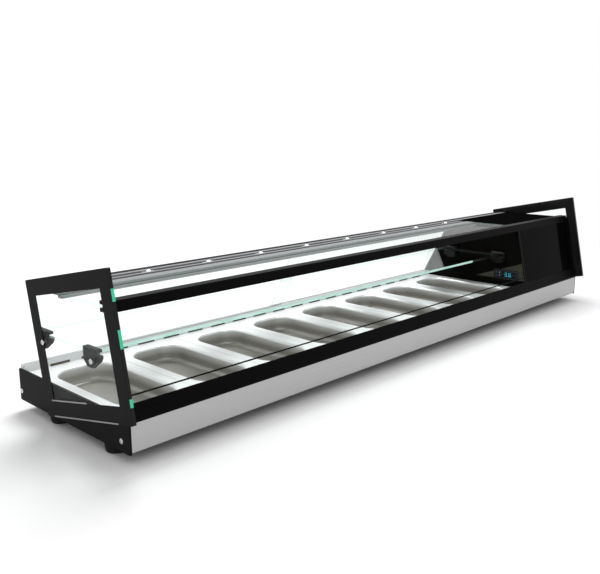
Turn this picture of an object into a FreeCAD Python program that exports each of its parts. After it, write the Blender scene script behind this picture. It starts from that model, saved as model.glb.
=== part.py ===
"""Refrigerated deli case: a low counter-top case with eight food pans under glass.

The model is a FreeCAD document.  The Sizes sheet holds the driving dimensions in millimetres and
degrees.  DERIVED lists the places and sizes that follow from them, such as where the machine housing
starts or how wide a pan is.  Every piece is bound to both by expressions.

Sizes are read in the case's own axes: x runs along the case from the left end, y from the front
fascia back, z up from the underside of the base.  seat() moves them to the document's origin, which
is on the counter under the middle of the case.
"""
import FreeCAD, Part
import math
import os
import re

import Sketcher

SIZES = {
    # overall
    "case_length": "1765", "base_depth": "392", "base_height": "66", "lean": "12",
    "housing_length": "328", "deck": "62", "top_level": "252",
    # clearances: between flush pieces, round a panel, and how far a cutting block runs past its cut
    "glass_play": "0.2", "fit_play": "0.2", "cut_over": "1",
    # feet: from the front edge, from the rear edge, and in from the end plates
    "foot_height": "22", "foot_radius": "20", "foot_edge": "5", "foot_front": "82", "foot_rear": "116",
    "foot_inset": "25",
    # base shell; the tray's rear wall ends below the deck
    "end_plate": "4", "plate_corner": "1.5", "tray_bottom": "2.5", "tray_gauge": "1.5", "tray_recess": "2",
    "tray_drop": "2.5", "fascia_top": "55.8", "fascia_gauge": "1.2", "fascia_return": "11.5",
    # sill profile under the front glass
    "sill_nose": "4", "sill_top": "85", "sill_lip": "2", "sill_inner_top": "74", "sill_back": "22",
    # end panes: sheet glass with an opaque border and thin bright strips
    "pane": "6", "border": "1", "pane_overhang": "24", "pane_foot": "62", "pane_width": "295",
    "pane_rise": "264", "pane_corner": "3", "border_width": "32",
    "trim_height": "2.4", "trim_proud": "0.8", "trim_front": "44", "trim_high_front": "140",
    "trim_rear": "26", "trim_low": "0.4", "trim_lap": "1",
    # front glass, its seal, and the bar at its top; levels are from the top glass's upper face
    "glass": "6", "glass_foot_y": "11.6", "glass_foot_z": "67.5", "glass_crown": "0.12",
    "seal_up": "30", "seal_height": "3", "seal_thick": "0.8",
    "bar_bottom": "13", "bar_top": "6.5", "bar_proud": "4", "bar_lip": "9.85", "bar_web": "3",
    # light rail: rail_behind is from the inner door, the other places are forward of its rear edge
    "rail_behind": "2.34", "rail_width": "78", "rail_leg": "7.5", "rail_bottom": "16", "rail_wall": "4",
    "rail_lip": "10", "rail_lip_drop": "5", "rail_web": "3", "groove_place": "53", "rail_groove": "14",
    "rail_groove_deep": "3", "channel_place": "30", "led_channel": "16", "led_channel_deep": "4",
    # light modules: from the left end to the first, from the last to the housing
    "led_first": "80", "led_last": "77", "led_count": "9", "led_length": "30", "led_width": "12",
    "led_board": "2", "led_lens": "4", "window_end": "3", "window_side": "2", "window_corner": "2",
    # rear tracks; the top track's levels are below, above and below the top glass's upper face
    "top_track_bottom": "19", "top_track_top": "1", "top_track_step": "3", "track_wall": "2.5",
    "track_front": "24", "track_hem": "2", "track_nose": "5", "track_crest": "5",
    # sliding rear doors: recess from the base's rear edge, foot above the deck, top below the top glass
    "door_lean": "27.5", "door": "5", "door_gap": "3", "door_recess": "2.5", "door_foot": "8",
    "door_top": "9.03", "door_room": "6", "door_overlap": "26", "door_play": "0.4", "door_side_gap": "4",
    "grip_width": "16", "grip_rise": "90", "grip_proud": "2.4", "grip_inset": "6", "grip_up": "52",
    # insulated well
    "liner_gauge": "1", "well_margin": "15", "liner_floor": "19", "liner_lip_front": "22.5", "liner_end": "1",
    # pans: from the left end, to the housing, from the front, and to the base's rear edge
    "pan_count": "8", "pan_first": "12.5", "pan_last": "8.5", "pan_gap": "1", "pan_front": "26",
    "pan_rear": "41", "pan_deep": "39", "pan_flange": "25", "pan_shoulder": "6", "pan_gauge": "1",
    "pan_corner": "12", "pan_tub_corner": "44", "pan_floor_corner": "12", "pan_play": "0.2",
    # evaporator coil under the well: ends from the well's left end and from the housing
    "coil_tube": "3", "coil_wall": "0.8", "coil_start": "67.5", "coil_end": "97", "coil_exit": "9",
    "coil_front_gap": "9", "coil_rear_gap": "11", "coil_runs": "6", "coil_play": "0.5",
    # drain
    "drain_inset": "24", "drain_y": "190", "drain_radius": "9", "drain_bore": "7", "drain_flange": "17",
    "drain_drop": "8", "drain_collar": "1.5",
    # glass shelf: its rear edge is this far from the inner door
    "shelf_rear_gap": "12", "shelf_depth": "206", "shelf": "6", "shelf_level": "160", "shelf_play": "2",
    "shelf_corner": "4",
    # shelf clamps: centres from the shelf's edges, levels from the shelf's upper face
    "clamp_front": "3", "clamp_rear": "33", "clamp_length": "42", "clamp_reach": "15", "clamp_tip": "18",
    "clamp_taper": "12", "clamp_top": "7", "clamp_bottom": "29", "clamp_root": "4", "clamp_edge": "2",
    "clamp_jaw": "5", "clamp_jaw_play": "0.3", "clamp_toe": "6",
    # screws: the clamp screws from the clamps, the plate screws from the base's edges
    "screw_head": "5", "screw_head_high": "2", "screw_crown": "3.5", "screw_shank": "2.5",
    "screw_socket": "1.6", "screw_socket_deep": "1.2", "screw_length": "14", "plate_screw_length": "9",
    "clamp_screw_shift": "16", "clamp_screw_drop": "13", "plate_screw_front": "24.5",
    "plate_screw_rear": "8", "plate_screw_level": "20",
    # machine housing
    "wall": "2", "wall_step": "1.5", "wall_rear_gap": "0.3", "wall_door_gap": "0.5", "wall_heel": "3",
    "sill_gap": "1", "panel": "3", "lid": "1.5", "lid_place": "22", "lid_play": "0.1",
    "grille": "1.5", "grille_drop": "23", "grille_gap": "0.5", "grille_corner": "2", "grille_slot": "5",
    "grille_pitch": "12", "grille_rows": "10", "grille_margin": "26", "grille_slot_start": "34",
    "louvre_slot": "5", "louvre_pitch": "14", "louvre_rows": "9", "louvre_front": "90",
    "louvre_length": "120", "louvre_start": "84",
    "vent_place": "53", "vent_slot": "6", "vent_pitch": "14", "vent_count": "9", "vent_front": "60",
    "vent_length": "70",
    # thermostat on its panel
    "control_panel": "1", "control_long": "145", "control_rise": "54", "control_gap": "0.5",
    "bezel_front": "43", "bezel_low": "84", "bezel_width": "80", "bezel_rise": "30", "bezel_proud": "5.5",
    "bezel_edge": "1", "bezel_corner": "2", "body_depth": "50", "body_inset": "4", "body_rise": "26",
    "display_inset": "5", "display_width": "48", "display_rise": "19", "display_deep": "1.5",
    "display_sunk": "0.3", "key_width": "8", "key_rise": "7", "key_gap": "3", "key_inset": "5",
    "key_deep": "4.5", "key_play": "0.3", "key_proud": "0.8", "key_thick": "3.5", "key_corner": "1.2",
    "key_edge": "0.4",
    # compressor: its axis from the housing wall and from the front
    "shell_place": "103", "shell_y": "200", "shell_radius": "62", "shell_body": "64", "shell_dome": "34",
    "shell_plate": "3", "shell_plate_x": "170", "shell_plate_y": "110", "grommet_radius": "9",
    "grommet_height": "7", "grommet_inset": "14",
    # condenser, beside the right panel
    "condenser_gap": "20", "condenser_y": "60", "condenser_thick": "36", "condenser_width": "190",
    "condenser_rise": "170", "condenser_lift": "8", "condenser_corner": "2", "condenser_leg": "20",
    "fin_slot": "4", "fin_pitch": "7", "fin_margin": "8",
    # fan, in front of the condenser
    "fan_gap": "4", "fan_depth": "24", "fan_size": "150", "fan_rim": "7", "fan_y": "155",
    "fan_level": "97", "blade_tip_gap": "5", "fan_hub": "19", "fan_hub_length": "16", "fan_hub_gap": "3",
    "fan_blades": "5", "fan_blade_chord": "26", "fan_blade_gauge": "1.6", "fan_blade_pitch": "32",
    "blade_root": "3",
    "blade_start": "10", "fan_spoke": "8", "fan_spoke_gauge": "3", "spoke_root": "1", "motor_radius": "24",
    "motor_length": "30", "shaft_radius": "3", "shaft_play": "0.05", "shaft_length": "22",
    "shaft_end_gap": "1",
    # refrigerant pipes
    "pipe_radius": "3", "pipe_bend": "14", "pipe_sink": "0.5", "discharge_rise": "23",
    "liquid_level": "60", "liquid_bend": "6", "suction_run": "50",
    # mains inlet on the back of the base: from the housing wall
    "inlet_place": "123", "inlet_level": "31", "inlet_width": "48", "inlet_rise": "28", "inlet_edge": "4",
    "inlet_body": "28", "inlet_body_rise": "21", "inlet_deep": "22", "inlet_cavity_width": "23",
    "inlet_cavity_rise": "16", "inlet_cavity_deep": "16", "inlet_pin": "2", "inlet_pin_rise": "4",
    "inlet_pin_pitch": "7", "inlet_pin_length": "12", "inlet_pin_lift": "2", "inlet_pin_root": "1",
    # light switch beside the inlet
    "switch_place": "80", "switch_width": "15", "switch_rise": "21", "switch_flange": "2",
    "switch_frame_deep": "14", "rocker_play": "0.4", "rocker_end_play": "0.6", "rocker_tilt": "8",
    "rocker_deep": "7", "rocker_wall": "1.5", "rocker_lip": "0.4", "rocker_dip": "0.9",
    "rocker_chin": "1", "rocker_sunk": "0.2", "rocker_root": "0.6",
}


def glass_front(z):
    """Say where the outer face of the front glass is at a height."""
    return f"(glass_foot_y + (({z}) - glass_foot_z) * tan(lean))"


def glass_back(z):
    """Say where the inner face of the front glass is at a height, with its play."""
    return f"({glass_front(z)} + glass / cos(lean) + glass_play)"


def door_out(z):
    """Say where the outer face of the outer door is at a height."""
    return f"(door_foot_y - (({z}) - door_foot_z) * tan(door_lean))"


def door_in(z):
    """Say where the inner face of the inner door is at a height."""
    return f"({door_out(z)} - (2 * door + door_gap) / cos(door_lean))"


DERIVED = {
    # levels
    "tray_top": "tray_bottom + tray_gauge",
    "tray_crown": "deck - tray_drop",
    "track_low": "top_level - top_track_bottom",
    "track_high": "top_level + top_track_top",
    "track_step": "top_level - top_track_step",
    "rail_low": "top_level - rail_bottom",
    "bar_low": "top_level - bar_bottom",
    "bar_high": "top_level + bar_top",
    "clamp_high": "shelf_level + clamp_top",
    "clamp_low": "shelf_level - clamp_bottom",
    "clamp_screw_level": "shelf_level - clamp_screw_drop",
    "grille_top": "top_level - grille_drop",
    "control_low": "bezel_low",
    "control_high": "control_low + control_rise",
    "coil_level": "liner_floor - liner_gauge - coil_play - coil_tube",
    "condenser_low": "tray_top + condenser_lift",
    "condenser_high": "condenser_low + condenser_rise",
    "discharge_level": "condenser_high + discharge_rise",
    "shell_foot": "tray_top + grommet_height",
    "shell_low": "shell_foot + shell_dome",
    "door_foot_z": "deck + door_foot",
    # along the case
    "left_plate": "border + pane",
    "left_face": "left_plate + end_plate",
    "right_plate": "case_length - border - pane",
    "right_face": "right_plate - end_plate",
    "housing_x": "case_length - housing_length",
    "pan_pitch": "(housing_x - pan_first - pan_last) / pan_count",
    "pan_width": "pan_pitch - pan_gap",
    "well_left": "pan_first + pan_flange - well_margin",
    "well_long": "pan_pitch * pan_count - 2 * pan_flange + 2 * well_margin",
    "coil_left": "well_left + coil_start",
    "coil_right": "housing_x - coil_end",
    "drain_x": "well_left + well_long - drain_inset",
    "led_pitch": "(housing_x - led_first - led_last) / (led_count - 1)",
    "door_width": "(housing_x - left_face - 2 * door_side_gap + door_overlap) / 2",
    "shell_x": "housing_x + shell_place",
    "condenser_x": "right_plate - wall - condenser_gap - condenser_thick",
    "fan_x": "condenser_x - fan_gap - fan_depth",
    "hub_x": "fan_x + fan_spoke_gauge + fan_hub_gap",
    "vent_start": "housing_x + vent_place",
    "inlet_x": "housing_x + inlet_place",
    "switch_x": "inlet_x + switch_place",
    # from front to back
    "tray_rear": "base_depth - tray_recess",
    "tray_inner": "tray_rear - tray_gauge",
    "pan_length": "base_depth - pan_front - pan_rear",
    "liner_front": "pan_front + pan_flange - well_margin",
    "liner_rear": "pan_front + pan_length - pan_flange + well_margin",
    "coil_front": "liner_front + coil_front_gap",
    "coil_pitch": "(liner_rear - coil_rear_gap - coil_front) / (coil_runs - 1)",
    "door_foot_y": "base_depth - door_recess",
    "bar_back": f"{glass_back('top_level')} + bar_web + bar_lip",
    "rail_rear": f"{door_in('track_step')} + rail_behind",
    "rail_front": "rail_rear - rail_width",
    "rail_heel": "rail_rear - rail_leg",
    "rail_groove_y": "rail_rear - groove_place",
    "led_channel_y": "rail_rear - channel_place",
    "led_y": "led_channel_y + (led_channel - led_width) / 2",
    "lid_rear": "rail_rear - lid_place",
    "shelf_rear": f"{door_in('shelf_level')} - shelf_rear_gap",
    "shelf_front": "shelf_rear - shelf_depth",
    "front_clamp_y": "shelf_front + clamp_front",
    "rear_clamp_y": "shelf_rear - clamp_rear",
    "front_plate_screw_y": "plate_screw_front",
    "rear_plate_screw_y": "base_depth - plate_screw_rear",
    "front_foot_y": "foot_front",
    "control_rear": "bezel_front + control_long",
    "rear_foot_y": "base_depth - foot_rear",
    # the leaning sheets' own heights, and the fan's round opening
    "glass_rise": "(top_level - glass_crown - glass_foot_z) / cos(lean)",
    "door_rise": "(top_level - door_top - door_foot_z) / cos(door_lean)",
    "fan_opening": "fan_size / 2 - fan_rim",
    "fan_blade_radius": "fan_opening - blade_tip_gap",
}

SHIFT = {
    "x": "- case_length / 2",
    "y": "+ (pane_overhang - pane_corner * (cos(lean) + sin(lean) - 1) - base_depth) / 2",
    "z": "+ foot_height",
}

NEAR = 1e-3
SLOT_END = 0.45

doc = FreeCAD.newDocument("deli_case")
sheet = doc.addObject("Spreadsheet::Sheet", "Sizes")
for row, (word, number) in enumerate(SIZES.items(), start=1):
    sheet.set(f"A{row}", word)
    sheet.set(f"B{row}", number)
    sheet.setAlias(f"B{row}", word)
doc.recompute()

NODES = []


def spelled(word):
    """Return one word of an expression: a cell of the sheet, a derived size written out, or itself."""
    name = word[0]
    if name in DERIVED:
        return f"({linked(DERIVED[name])})"
    return f"Sizes.{name}" if name in SIZES else name


def linked(text):
    """Return an expression with its size names tied to the sheet."""
    return re.sub(r"[a-z][a-z_]*", spelled, text)


def bind(item, prop, text):
    """Bind one property of a document object to an expression of size names."""
    item.setExpression(prop, linked(text))


gauge = doc.addObject("App::FeaturePython", "Gauge")
gauge.addProperty("App::PropertyFloat", "Reading")


def worth(text):
    """Work out an expression of size names."""
    bind(gauge, "Reading", text)
    gauge.recompute()
    return gauge.Reading


def seat(item, x="0", y="0", z="0", turn=None):
    """Place an object by case coordinates, turned about an axis by a size or a number."""
    if turn:
        axis, angle = turn
        rotation = FreeCAD.Rotation(FreeCAD.Vector(*axis), worth(angle))
        item.Placement = FreeCAD.Placement(FreeCAD.Vector(), rotation)
        bind(item, "Placement.Rotation.Angle", angle)
    for letter, text in (("x", x), ("y", y), ("z", z)):
        bind(item, f"Placement.Base.{letter}", f"{text} {SHIFT[letter]}")
    return item


def node(item, name):
    """Name an object as a finished piece of the case."""
    item.Label = name
    NODES.append(item)
    return item


LEAN_BACK = ((-1, 0, 0), "lean")
LEAN_IN = ((1, 0, 0), "door_lean")
ALONG = {"x": ((0, 1, 0), "90"), "y": ((-1, 0, 0), "90"), "z": None}


def block(name, x, y, z, length, width, height, turn=None):
    """Make a box from expressions, by its low corner and its three sizes."""
    item = doc.addObject("Part::Box", name)
    bind(item, "Length", length)
    bind(item, "Width", width)
    bind(item, "Height", height)
    return seat(item, x, y, z, turn)


def rod(name, x, y, z, radius, length, along="z"):
    """Make a cylinder from expressions, running from its base point along an axis."""
    item = doc.addObject("Part::Cylinder", name)
    bind(item, "Radius", radius)
    bind(item, "Height", length)
    return seat(item, x, y, z, ALONG[along])


def join(name, *items):
    """Fuse objects, which may also stand apart."""
    item = doc.addObject("Part::MultiFuse", name)
    item.Shapes = list(items)
    return item


def cut(name, base, *tools):
    """Cut one or more objects from a base."""
    tool = tools[0] if len(tools) == 1 else join(name + "_tools", *tools)
    item = doc.addObject("Part::Cut", name)
    item.Base = base
    item.Tool = tool
    return item


def group(name, items):
    """Hold separate solids as one piece."""
    item = doc.addObject("Part::Compound", name)
    item.Links = list(items)
    return item


def new_body(name):
    """Start a PartDesign body."""
    return doc.addObject("PartDesign::Body", name)


def origin_plane(body, role):
    """Find one of a body's own origin planes or axes."""
    return next(feature for feature in body.Origin.OriginFeatures if feature.Role == role)


def new_sketch(body, name, role):
    """Open a sketch on one of a body's origin planes."""
    sketch = body.newObject("Sketcher::SketchObject", name)
    sketch.AttachmentSupport = (origin_plane(body, role), "")
    sketch.MapMode = "FlatFace"
    return sketch


def pin_point(sketch, index, point, across, up):
    """Fix a sketch point at a place given by two expressions."""
    for kind, text in (("DistanceX", across), ("DistanceY", up)):
        number = sketch.addConstraint(Sketcher.Constraint(kind, -1, 1, index, point, worth(text)))
        bind(sketch, f"Constraints[{number}]", text)


def outline(sketch, corners):
    """Draw a closed outline of straight lines through corners given as expressions."""
    count = len(corners)
    start = [FreeCAD.Vector(worth(across), worth(up), 0) for across, up in corners]
    first = sketch.GeometryCount
    for i in range(count):
        sketch.addGeometry(Part.LineSegment(start[i], start[(i + 1) % count]))
    for i, (across, up) in enumerate(corners):
        sketch.addConstraint(Sketcher.Constraint("Coincident", first + i, 2, first + (i + 1) % count, 1))
        pin_point(sketch, first + i, 1, across, up)


def rounded(sketch, left, bottom, right, top, radius):
    """Draw a rectangle with round corners from expressions."""
    corners = [(left, bottom), (right, bottom), (right, top), (left, top)]
    inward = [("+", "+"), ("-", "+"), ("-", "-"), ("+", "-")]
    places = []
    for (across, up), (side_x, side_y) in zip(corners, inward):
        places.append((f"({across}) {side_x} ({radius})", f"({up}) {side_y} ({radius})"))
    first = sketch.GeometryCount
    quarter = math.pi / 2
    for i, (across, up) in enumerate(places):
        centre = FreeCAD.Vector(worth(across), worth(up), 0)
        circle = Part.Circle(centre, FreeCAD.Vector(0, 0, 1), worth(radius))
        sketch.addGeometry(Part.ArcOfCircle(circle, (i + 2) * quarter, (i + 3) * quarter))
    for i in range(4):
        arc, following = first + i, first + (i + 1) % 4
        start, end = sketch.Geometry[arc].EndPoint, sketch.Geometry[following].StartPoint
        sketch.addGeometry(Part.LineSegment(start, end))
    for i, (across, up) in enumerate(places):
        arc, following, edge = first + i, first + (i + 1) % 4, first + 4 + i
        pin_point(sketch, arc, 3, across, up)
        sketch.addConstraint(Sketcher.Constraint("Tangent", arc, 2, edge, 1))
        sketch.addConstraint(Sketcher.Constraint("Tangent", edge, 2, following, 1))
    number = sketch.addConstraint(Sketcher.Constraint("Radius", first, worth(radius)))
    bind(sketch, f"Constraints[{number}]", radius)
    for i in range(1, 4):
        sketch.addConstraint(Sketcher.Constraint("Equal", first, first + i))


def centred(sketch, half_width, half_height, radius):
    """Draw a rectangle with round corners about the sketch's origin."""
    rounded(sketch, f"0 - {half_width}", f"0 - {half_height}", half_width, half_height, radius)


def slot(sketch, left, bottom, long, width, upright=False):
    """Draw a slot with nearly round ends, level or upright, from its low corner."""
    across, up = (width, long) if upright else (long, width)
    rounded(sketch, left, bottom, f"{left} + {across}", f"{bottom} + {up}", f"{width} * {SLOT_END}")


def pad(body, name, sketch, length, reverse=False, middle=False):
    """Pad a sketch by an expression."""
    item = body.newObject("PartDesign::Pad", name)
    item.Profile = sketch
    item.Reversed = reverse
    item.Midplane = middle
    bind(item, "Length", length)
    body.Tip = item
    return item


def pocket(body, name, sketch, length=None, reverse=False, middle=False):
    """Pocket a sketch by an expression, or through everything, and check that it cuts."""
    before = body.Tip
    item = body.newObject("PartDesign::Pocket", name)
    item.Profile = sketch
    item.Reversed = reverse
    item.Midplane = middle
    if length is None:
        item.Type = 1
    else:
        bind(item, "Length", length)
    body.Tip = item
    doc.recompute()
    if item.Shape.Volume > before.Shape.Volume - NEAR:
        raise RuntimeError(f"{name} cuts nothing")
    return item


def repeat(body, feature, role, count, pitch):
    """Repeat a feature along an origin axis at a pitch."""
    item = body.newObject("PartDesign::LinearPattern", feature.Name + "_row")
    item.Originals = [feature]
    item.Direction = (origin_plane(body, role), [""])
    item.Mode = 1
    bind(item, "Offset", pitch)
    bind(item, "Occurrences", count)
    body.Tip = item
    return item


def turned(body, name, sketch):
    """Revolve a sketch about its own upright axis."""
    item = body.newObject("PartDesign::Revolution", name)
    item.Profile = sketch
    item.ReferenceAxis = (sketch, ["V_Axis"])
    body.Tip = item
    return item


def round_edges(body, name, radius, test):
    """Fillet the edges of a body's tip that pass a test."""
    doc.recompute()
    base = body.Tip
    chosen = [f"Edge{i}" for i, edge in enumerate(base.Shape.Edges, start=1) if test(edge)]
    if not chosen:
        raise RuntimeError(f"{name} finds no edges")
    item = body.newObject("PartDesign::Fillet", name)
    item.Base = (base, chosen)
    bind(item, "Radius", radius)
    body.Tip = item
    return item


def lies_at(edge, level):
    """Say whether an edge lies level at a height."""
    return abs(edge.BoundBox.ZMin - level) < NEAR and abs(edge.BoundBox.ZMax - level) < NEAR


def bar_along(name, corners, x_from, x_to):
    """Make a profile from y, z corners that runs along the case."""
    body = new_body(name)
    sketch = new_sketch(body, name + "_section", "YZ_Plane")
    outline(sketch, corners)
    pad(body, name + "_run", sketch, f"({x_to}) - ({x_from})")
    return seat(body, x_from)


def screw(name, x, y, z, length, outward):
    """Make one socket screw along x, its head on the outward side (-1 or 1)."""
    body = new_body(name)
    section = new_sketch(body, name + "_section", "XZ_Plane")
    corners = [
        ("0", "0 - screw_head_high"), ("screw_crown", "0 - screw_head_high"),
        ("screw_head", "0 - screw_head_high / 2"), ("screw_head", "0"), ("screw_shank", "0"),
        ("screw_shank", length), ("0", length),
    ]
    outline(section, corners)
    turned(body, name + "_turned", section)
    socket = new_sketch(body, name + "_socket", "XY_Plane")
    outline(socket, [(f"screw_socket * cos({60 * i})", f"screw_socket * sin({60 * i})") for i in range(6)])
    bind(socket, "AttachmentOffset.Base.z", "0 - screw_head_high")
    pocket(body, name + "_recess", socket, "screw_socket_deep", reverse=True)
    return seat(body, x, y, z, ((0, -outward, 0), "90"))


def screws_at(hand):
    """Make one end's four screws, and return those of the shelf clamps and those of the base plate."""
    side, face, plate = (-1, "0", "left_plate") if hand == "left" else (1, "case_length", "right_plate")
    clamp_pair, plate_pair = [], []
    for place in ("front", "rear"):
        y = f"{place}_clamp_y - clamp_screw_shift"
        clamp_pair.append(
            screw(f"{hand}_{place}_clamp_screw", face, y, "clamp_screw_level", "screw_length", side)
        )
        y = f"{place}_plate_screw_y"
        plate_pair.append(
            screw(f"{hand}_{place}_plate_screw", plate, y, "plate_screw_level", "plate_screw_length", side)
        )
    return clamp_pair, plate_pair


def make_base_plates(screws):
    """Make the two painted plates that close the ends of the base."""
    for hand, x in (("left", "left_plate"), ("right", "right_face")):
        body = new_body(f"{hand}_plate_blank")
        sketch = new_sketch(body, f"{hand}_plate_outline", "YZ_Plane")
        rounded(sketch, "0", "0", "base_depth", "base_height", "plate_corner")
        pad(body, f"{hand}_plate_pad", sketch, "end_plate")
        seat(body, x)
        node(cut(f"{hand}_plate_drilled", body, *screws[hand]), f"{hand}_base_plate")


def make_drain():
    """Make the drain spigot, and return the cylinder that clears its way."""
    low = "0 - drain_drop"
    way = rod("drain_way", "drain_x", "drain_y", low, "drain_radius", "deck + drain_drop")
    tube = rod("drain_tube", "drain_x", "drain_y", low, "drain_radius", "liner_floor + drain_drop")
    collar = rod("drain_collar", "drain_x", "drain_y", "liner_floor", "drain_flange", "drain_collar")
    bore = rod("drain_bore", "drain_x", "drain_y", low, "drain_bore", "liner_floor + drain_drop + drain_collar")
    node(cut("drain", join("drain_solid", tube, collar), bore), "drain_spigot")
    return way


def inlet_block(name):
    """Make the block of the mains inlet's body, inside the tray's rear wall."""
    return block(
        name, "inlet_x - inlet_body / 2", "tray_rear - inlet_deep", "inlet_level - inlet_body_rise / 2",
        "inlet_body", "inlet_deep", "inlet_body_rise",
    )


def switch_block(name):
    """Make the block of the light switch's box, inside the tray's rear wall."""
    return block(
        name, "switch_x - switch_width / 2", "tray_rear - switch_frame_deep", "inlet_level - switch_rise / 2",
        "switch_width", "switch_frame_deep", "switch_rise",
    )


def make_tray(drain_way):
    """Make the folded tray under the case, with vents below the machine."""
    corners = [
        ("fascia_gauge", "tray_bottom"), ("tray_rear", "tray_bottom"), ("tray_rear", "tray_crown"),
        ("tray_inner", "tray_crown"), ("tray_inner", "tray_top"), ("fascia_gauge", "tray_top"),
    ]
    body = bar_along("tray_sheet", corners, "left_face", "right_face")
    sketch = new_sketch(body, "vent_outline", "XY_Plane")
    slot(sketch, "vent_start - left_face", "vent_front", "vent_length", "vent_slot", upright=True)
    vent = pocket(body, "vent", sketch, middle=True)
    repeat(body, vent, "X_Axis", "vent_count", "vent_pitch")
    node(cut("tray_cut", body, drain_way, inlet_block("inlet_way"), switch_block("switch_way")), "base_tray")


def make_fascia():
    """Make the brushed fascia along the front, a shallow channel."""
    low, high = "tray_top + fascia_gauge", "fascia_top - fascia_gauge"
    corners = [
        ("0", "tray_top"), ("0", "fascia_top"), ("fascia_return", "fascia_top"), ("fascia_return", high),
        ("fascia_gauge", high), ("fascia_gauge", low), ("fascia_return", low), ("fascia_return", "tray_top"),
    ]
    node(bar_along("fascia_sheet", corners, "left_face", "right_face"), "front_fascia")


def make_sill():
    """Make the sill profile, whose groove holds the foot of the front glass."""
    foot = "(glass_foot_z - glass * sin(lean) - glass_play)"
    corners = [
        ("0", "fascia_top"), ("0", "fascia_top + sill_nose"),
        (f"{glass_front('sill_top')} - sill_lip", "sill_top"),
        (f"{glass_front('sill_top')} - glass_play", "sill_top"), (f"{glass_front(foot)} - glass_play", foot),
        (glass_back(foot), foot), (glass_back("sill_inner_top"), "sill_inner_top"),
        ("sill_back", "sill_inner_top"), ("sill_back", "fascia_top"),
    ]
    node(bar_along("sill_profile", corners, "left_face", "right_face"), "front_sill")


def make_well(drain_way):
    """Make the steel well liner, and return its tub, which the foam is cut round."""
    lip = block(
        "liner_lip", "left_face", "liner_lip_front", "deck - liner_gauge", "housing_x - liner_end - left_face",
        "tray_inner - liner_lip_front", "liner_gauge",
    )
    tub = block(
        "liner_tub", "well_left - liner_gauge", "liner_front - liner_gauge", "liner_floor - liner_gauge",
        "well_long + 2 * liner_gauge", "liner_rear - liner_front + 2 * liner_gauge", "deck - liner_floor",
    )
    hollow = block(
        "liner_hollow", "well_left", "liner_front", "liner_floor", "well_long", "liner_rear - liner_front",
        "deck - liner_floor",
    )
    node(cut("liner", join("liner_solid", lip, tub), hollow, drain_way), "well_liner")
    return tub


def smooth_path(points, bend):
    """Join straight runs with arcs of one bend radius, as a wire."""
    edges = []
    at = points[0]
    for before, corner, after in zip(points, points[1:], points[2:]):
        inward = (before - corner).normalize()
        outward = (after - corner).normalize()
        half = math.acos(max(-1.0, min(1.0, inward.dot(outward)))) / 2
        reach = bend / math.tan(half)
        middle = corner + (inward + outward).normalize() * (bend / math.sin(half) - bend)
        start = corner + inward * reach
        end = corner + outward * reach
        if (start - at).Length > NEAR:
            edges.append(Part.LineSegment(at, start).toShape())
        edges.append(Part.Arc(start, middle, end).toShape())
        at = end
    edges.append(Part.LineSegment(at, points[-1]).toShape())
    return Part.Wire(edges)


def tube_shape(points, bend, radius):
    """Sweep a round rod along a path, and check its volume."""
    path = smooth_path(points, bend)
    ring = Part.Wire(Part.makeCircle(radius, points[0], points[1] - points[0]))
    solid = path.makePipeShell([ring], True, True)
    expected = math.pi * radius ** 2 * path.Length
    if abs(solid.Volume - expected) > 0.01 * expected:
        raise RuntimeError("a tube's volume is not its section times its length")
    return solid


def placed_feature(name, shape):
    """Hold a shape made in case coordinates, and move it to the document's origin."""
    item = doc.addObject("Part::Feature", name)
    item.Shape = shape
    return seat(item)


def coil_points():
    """List the corners of the evaporator's serpentine, from the front end to the rear end."""
    level = worth("coil_level")
    pitch = worth("coil_pitch")
    ends = worth("housing_x + coil_exit")
    points = [FreeCAD.Vector(ends, worth("coil_front"), level)]
    for run in range(int(worth("coil_runs")) - 1):
        x = worth("coil_left") if run % 2 == 0 else worth("coil_right")
        y = points[-1].y
        points += [FreeCAD.Vector(x, y, level), FreeCAD.Vector(x, y + pitch, level)]
    points.append(FreeCAD.Vector(ends, points[-1].y, level))
    return points


def make_evaporator(liner_tub, drain_way, plate_screws):
    """Make the evaporator tube under the liner and the foam round both, and return the tube's way."""
    bend = worth("coil_pitch") / 2 - 10 * NEAR
    outer = tube_shape(coil_points(), bend, worth("coil_tube"))
    core = tube_shape(coil_points(), bend, worth("coil_tube - coil_wall"))
    way = placed_feature("coil_way", outer)
    node(placed_feature("coil_tube_run", outer.cut(core)), "evaporator_coil")
    foam = block(
        "foam_block", "left_face", "sill_back", "tray_top", "housing_x - liner_end - left_face",
        "tray_inner - sill_back", "deck - liner_gauge - tray_top",
    )
    node(cut("foam", foam, liner_tub, drain_way, way, *plate_screws), "foam_insulation")
    return way


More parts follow.
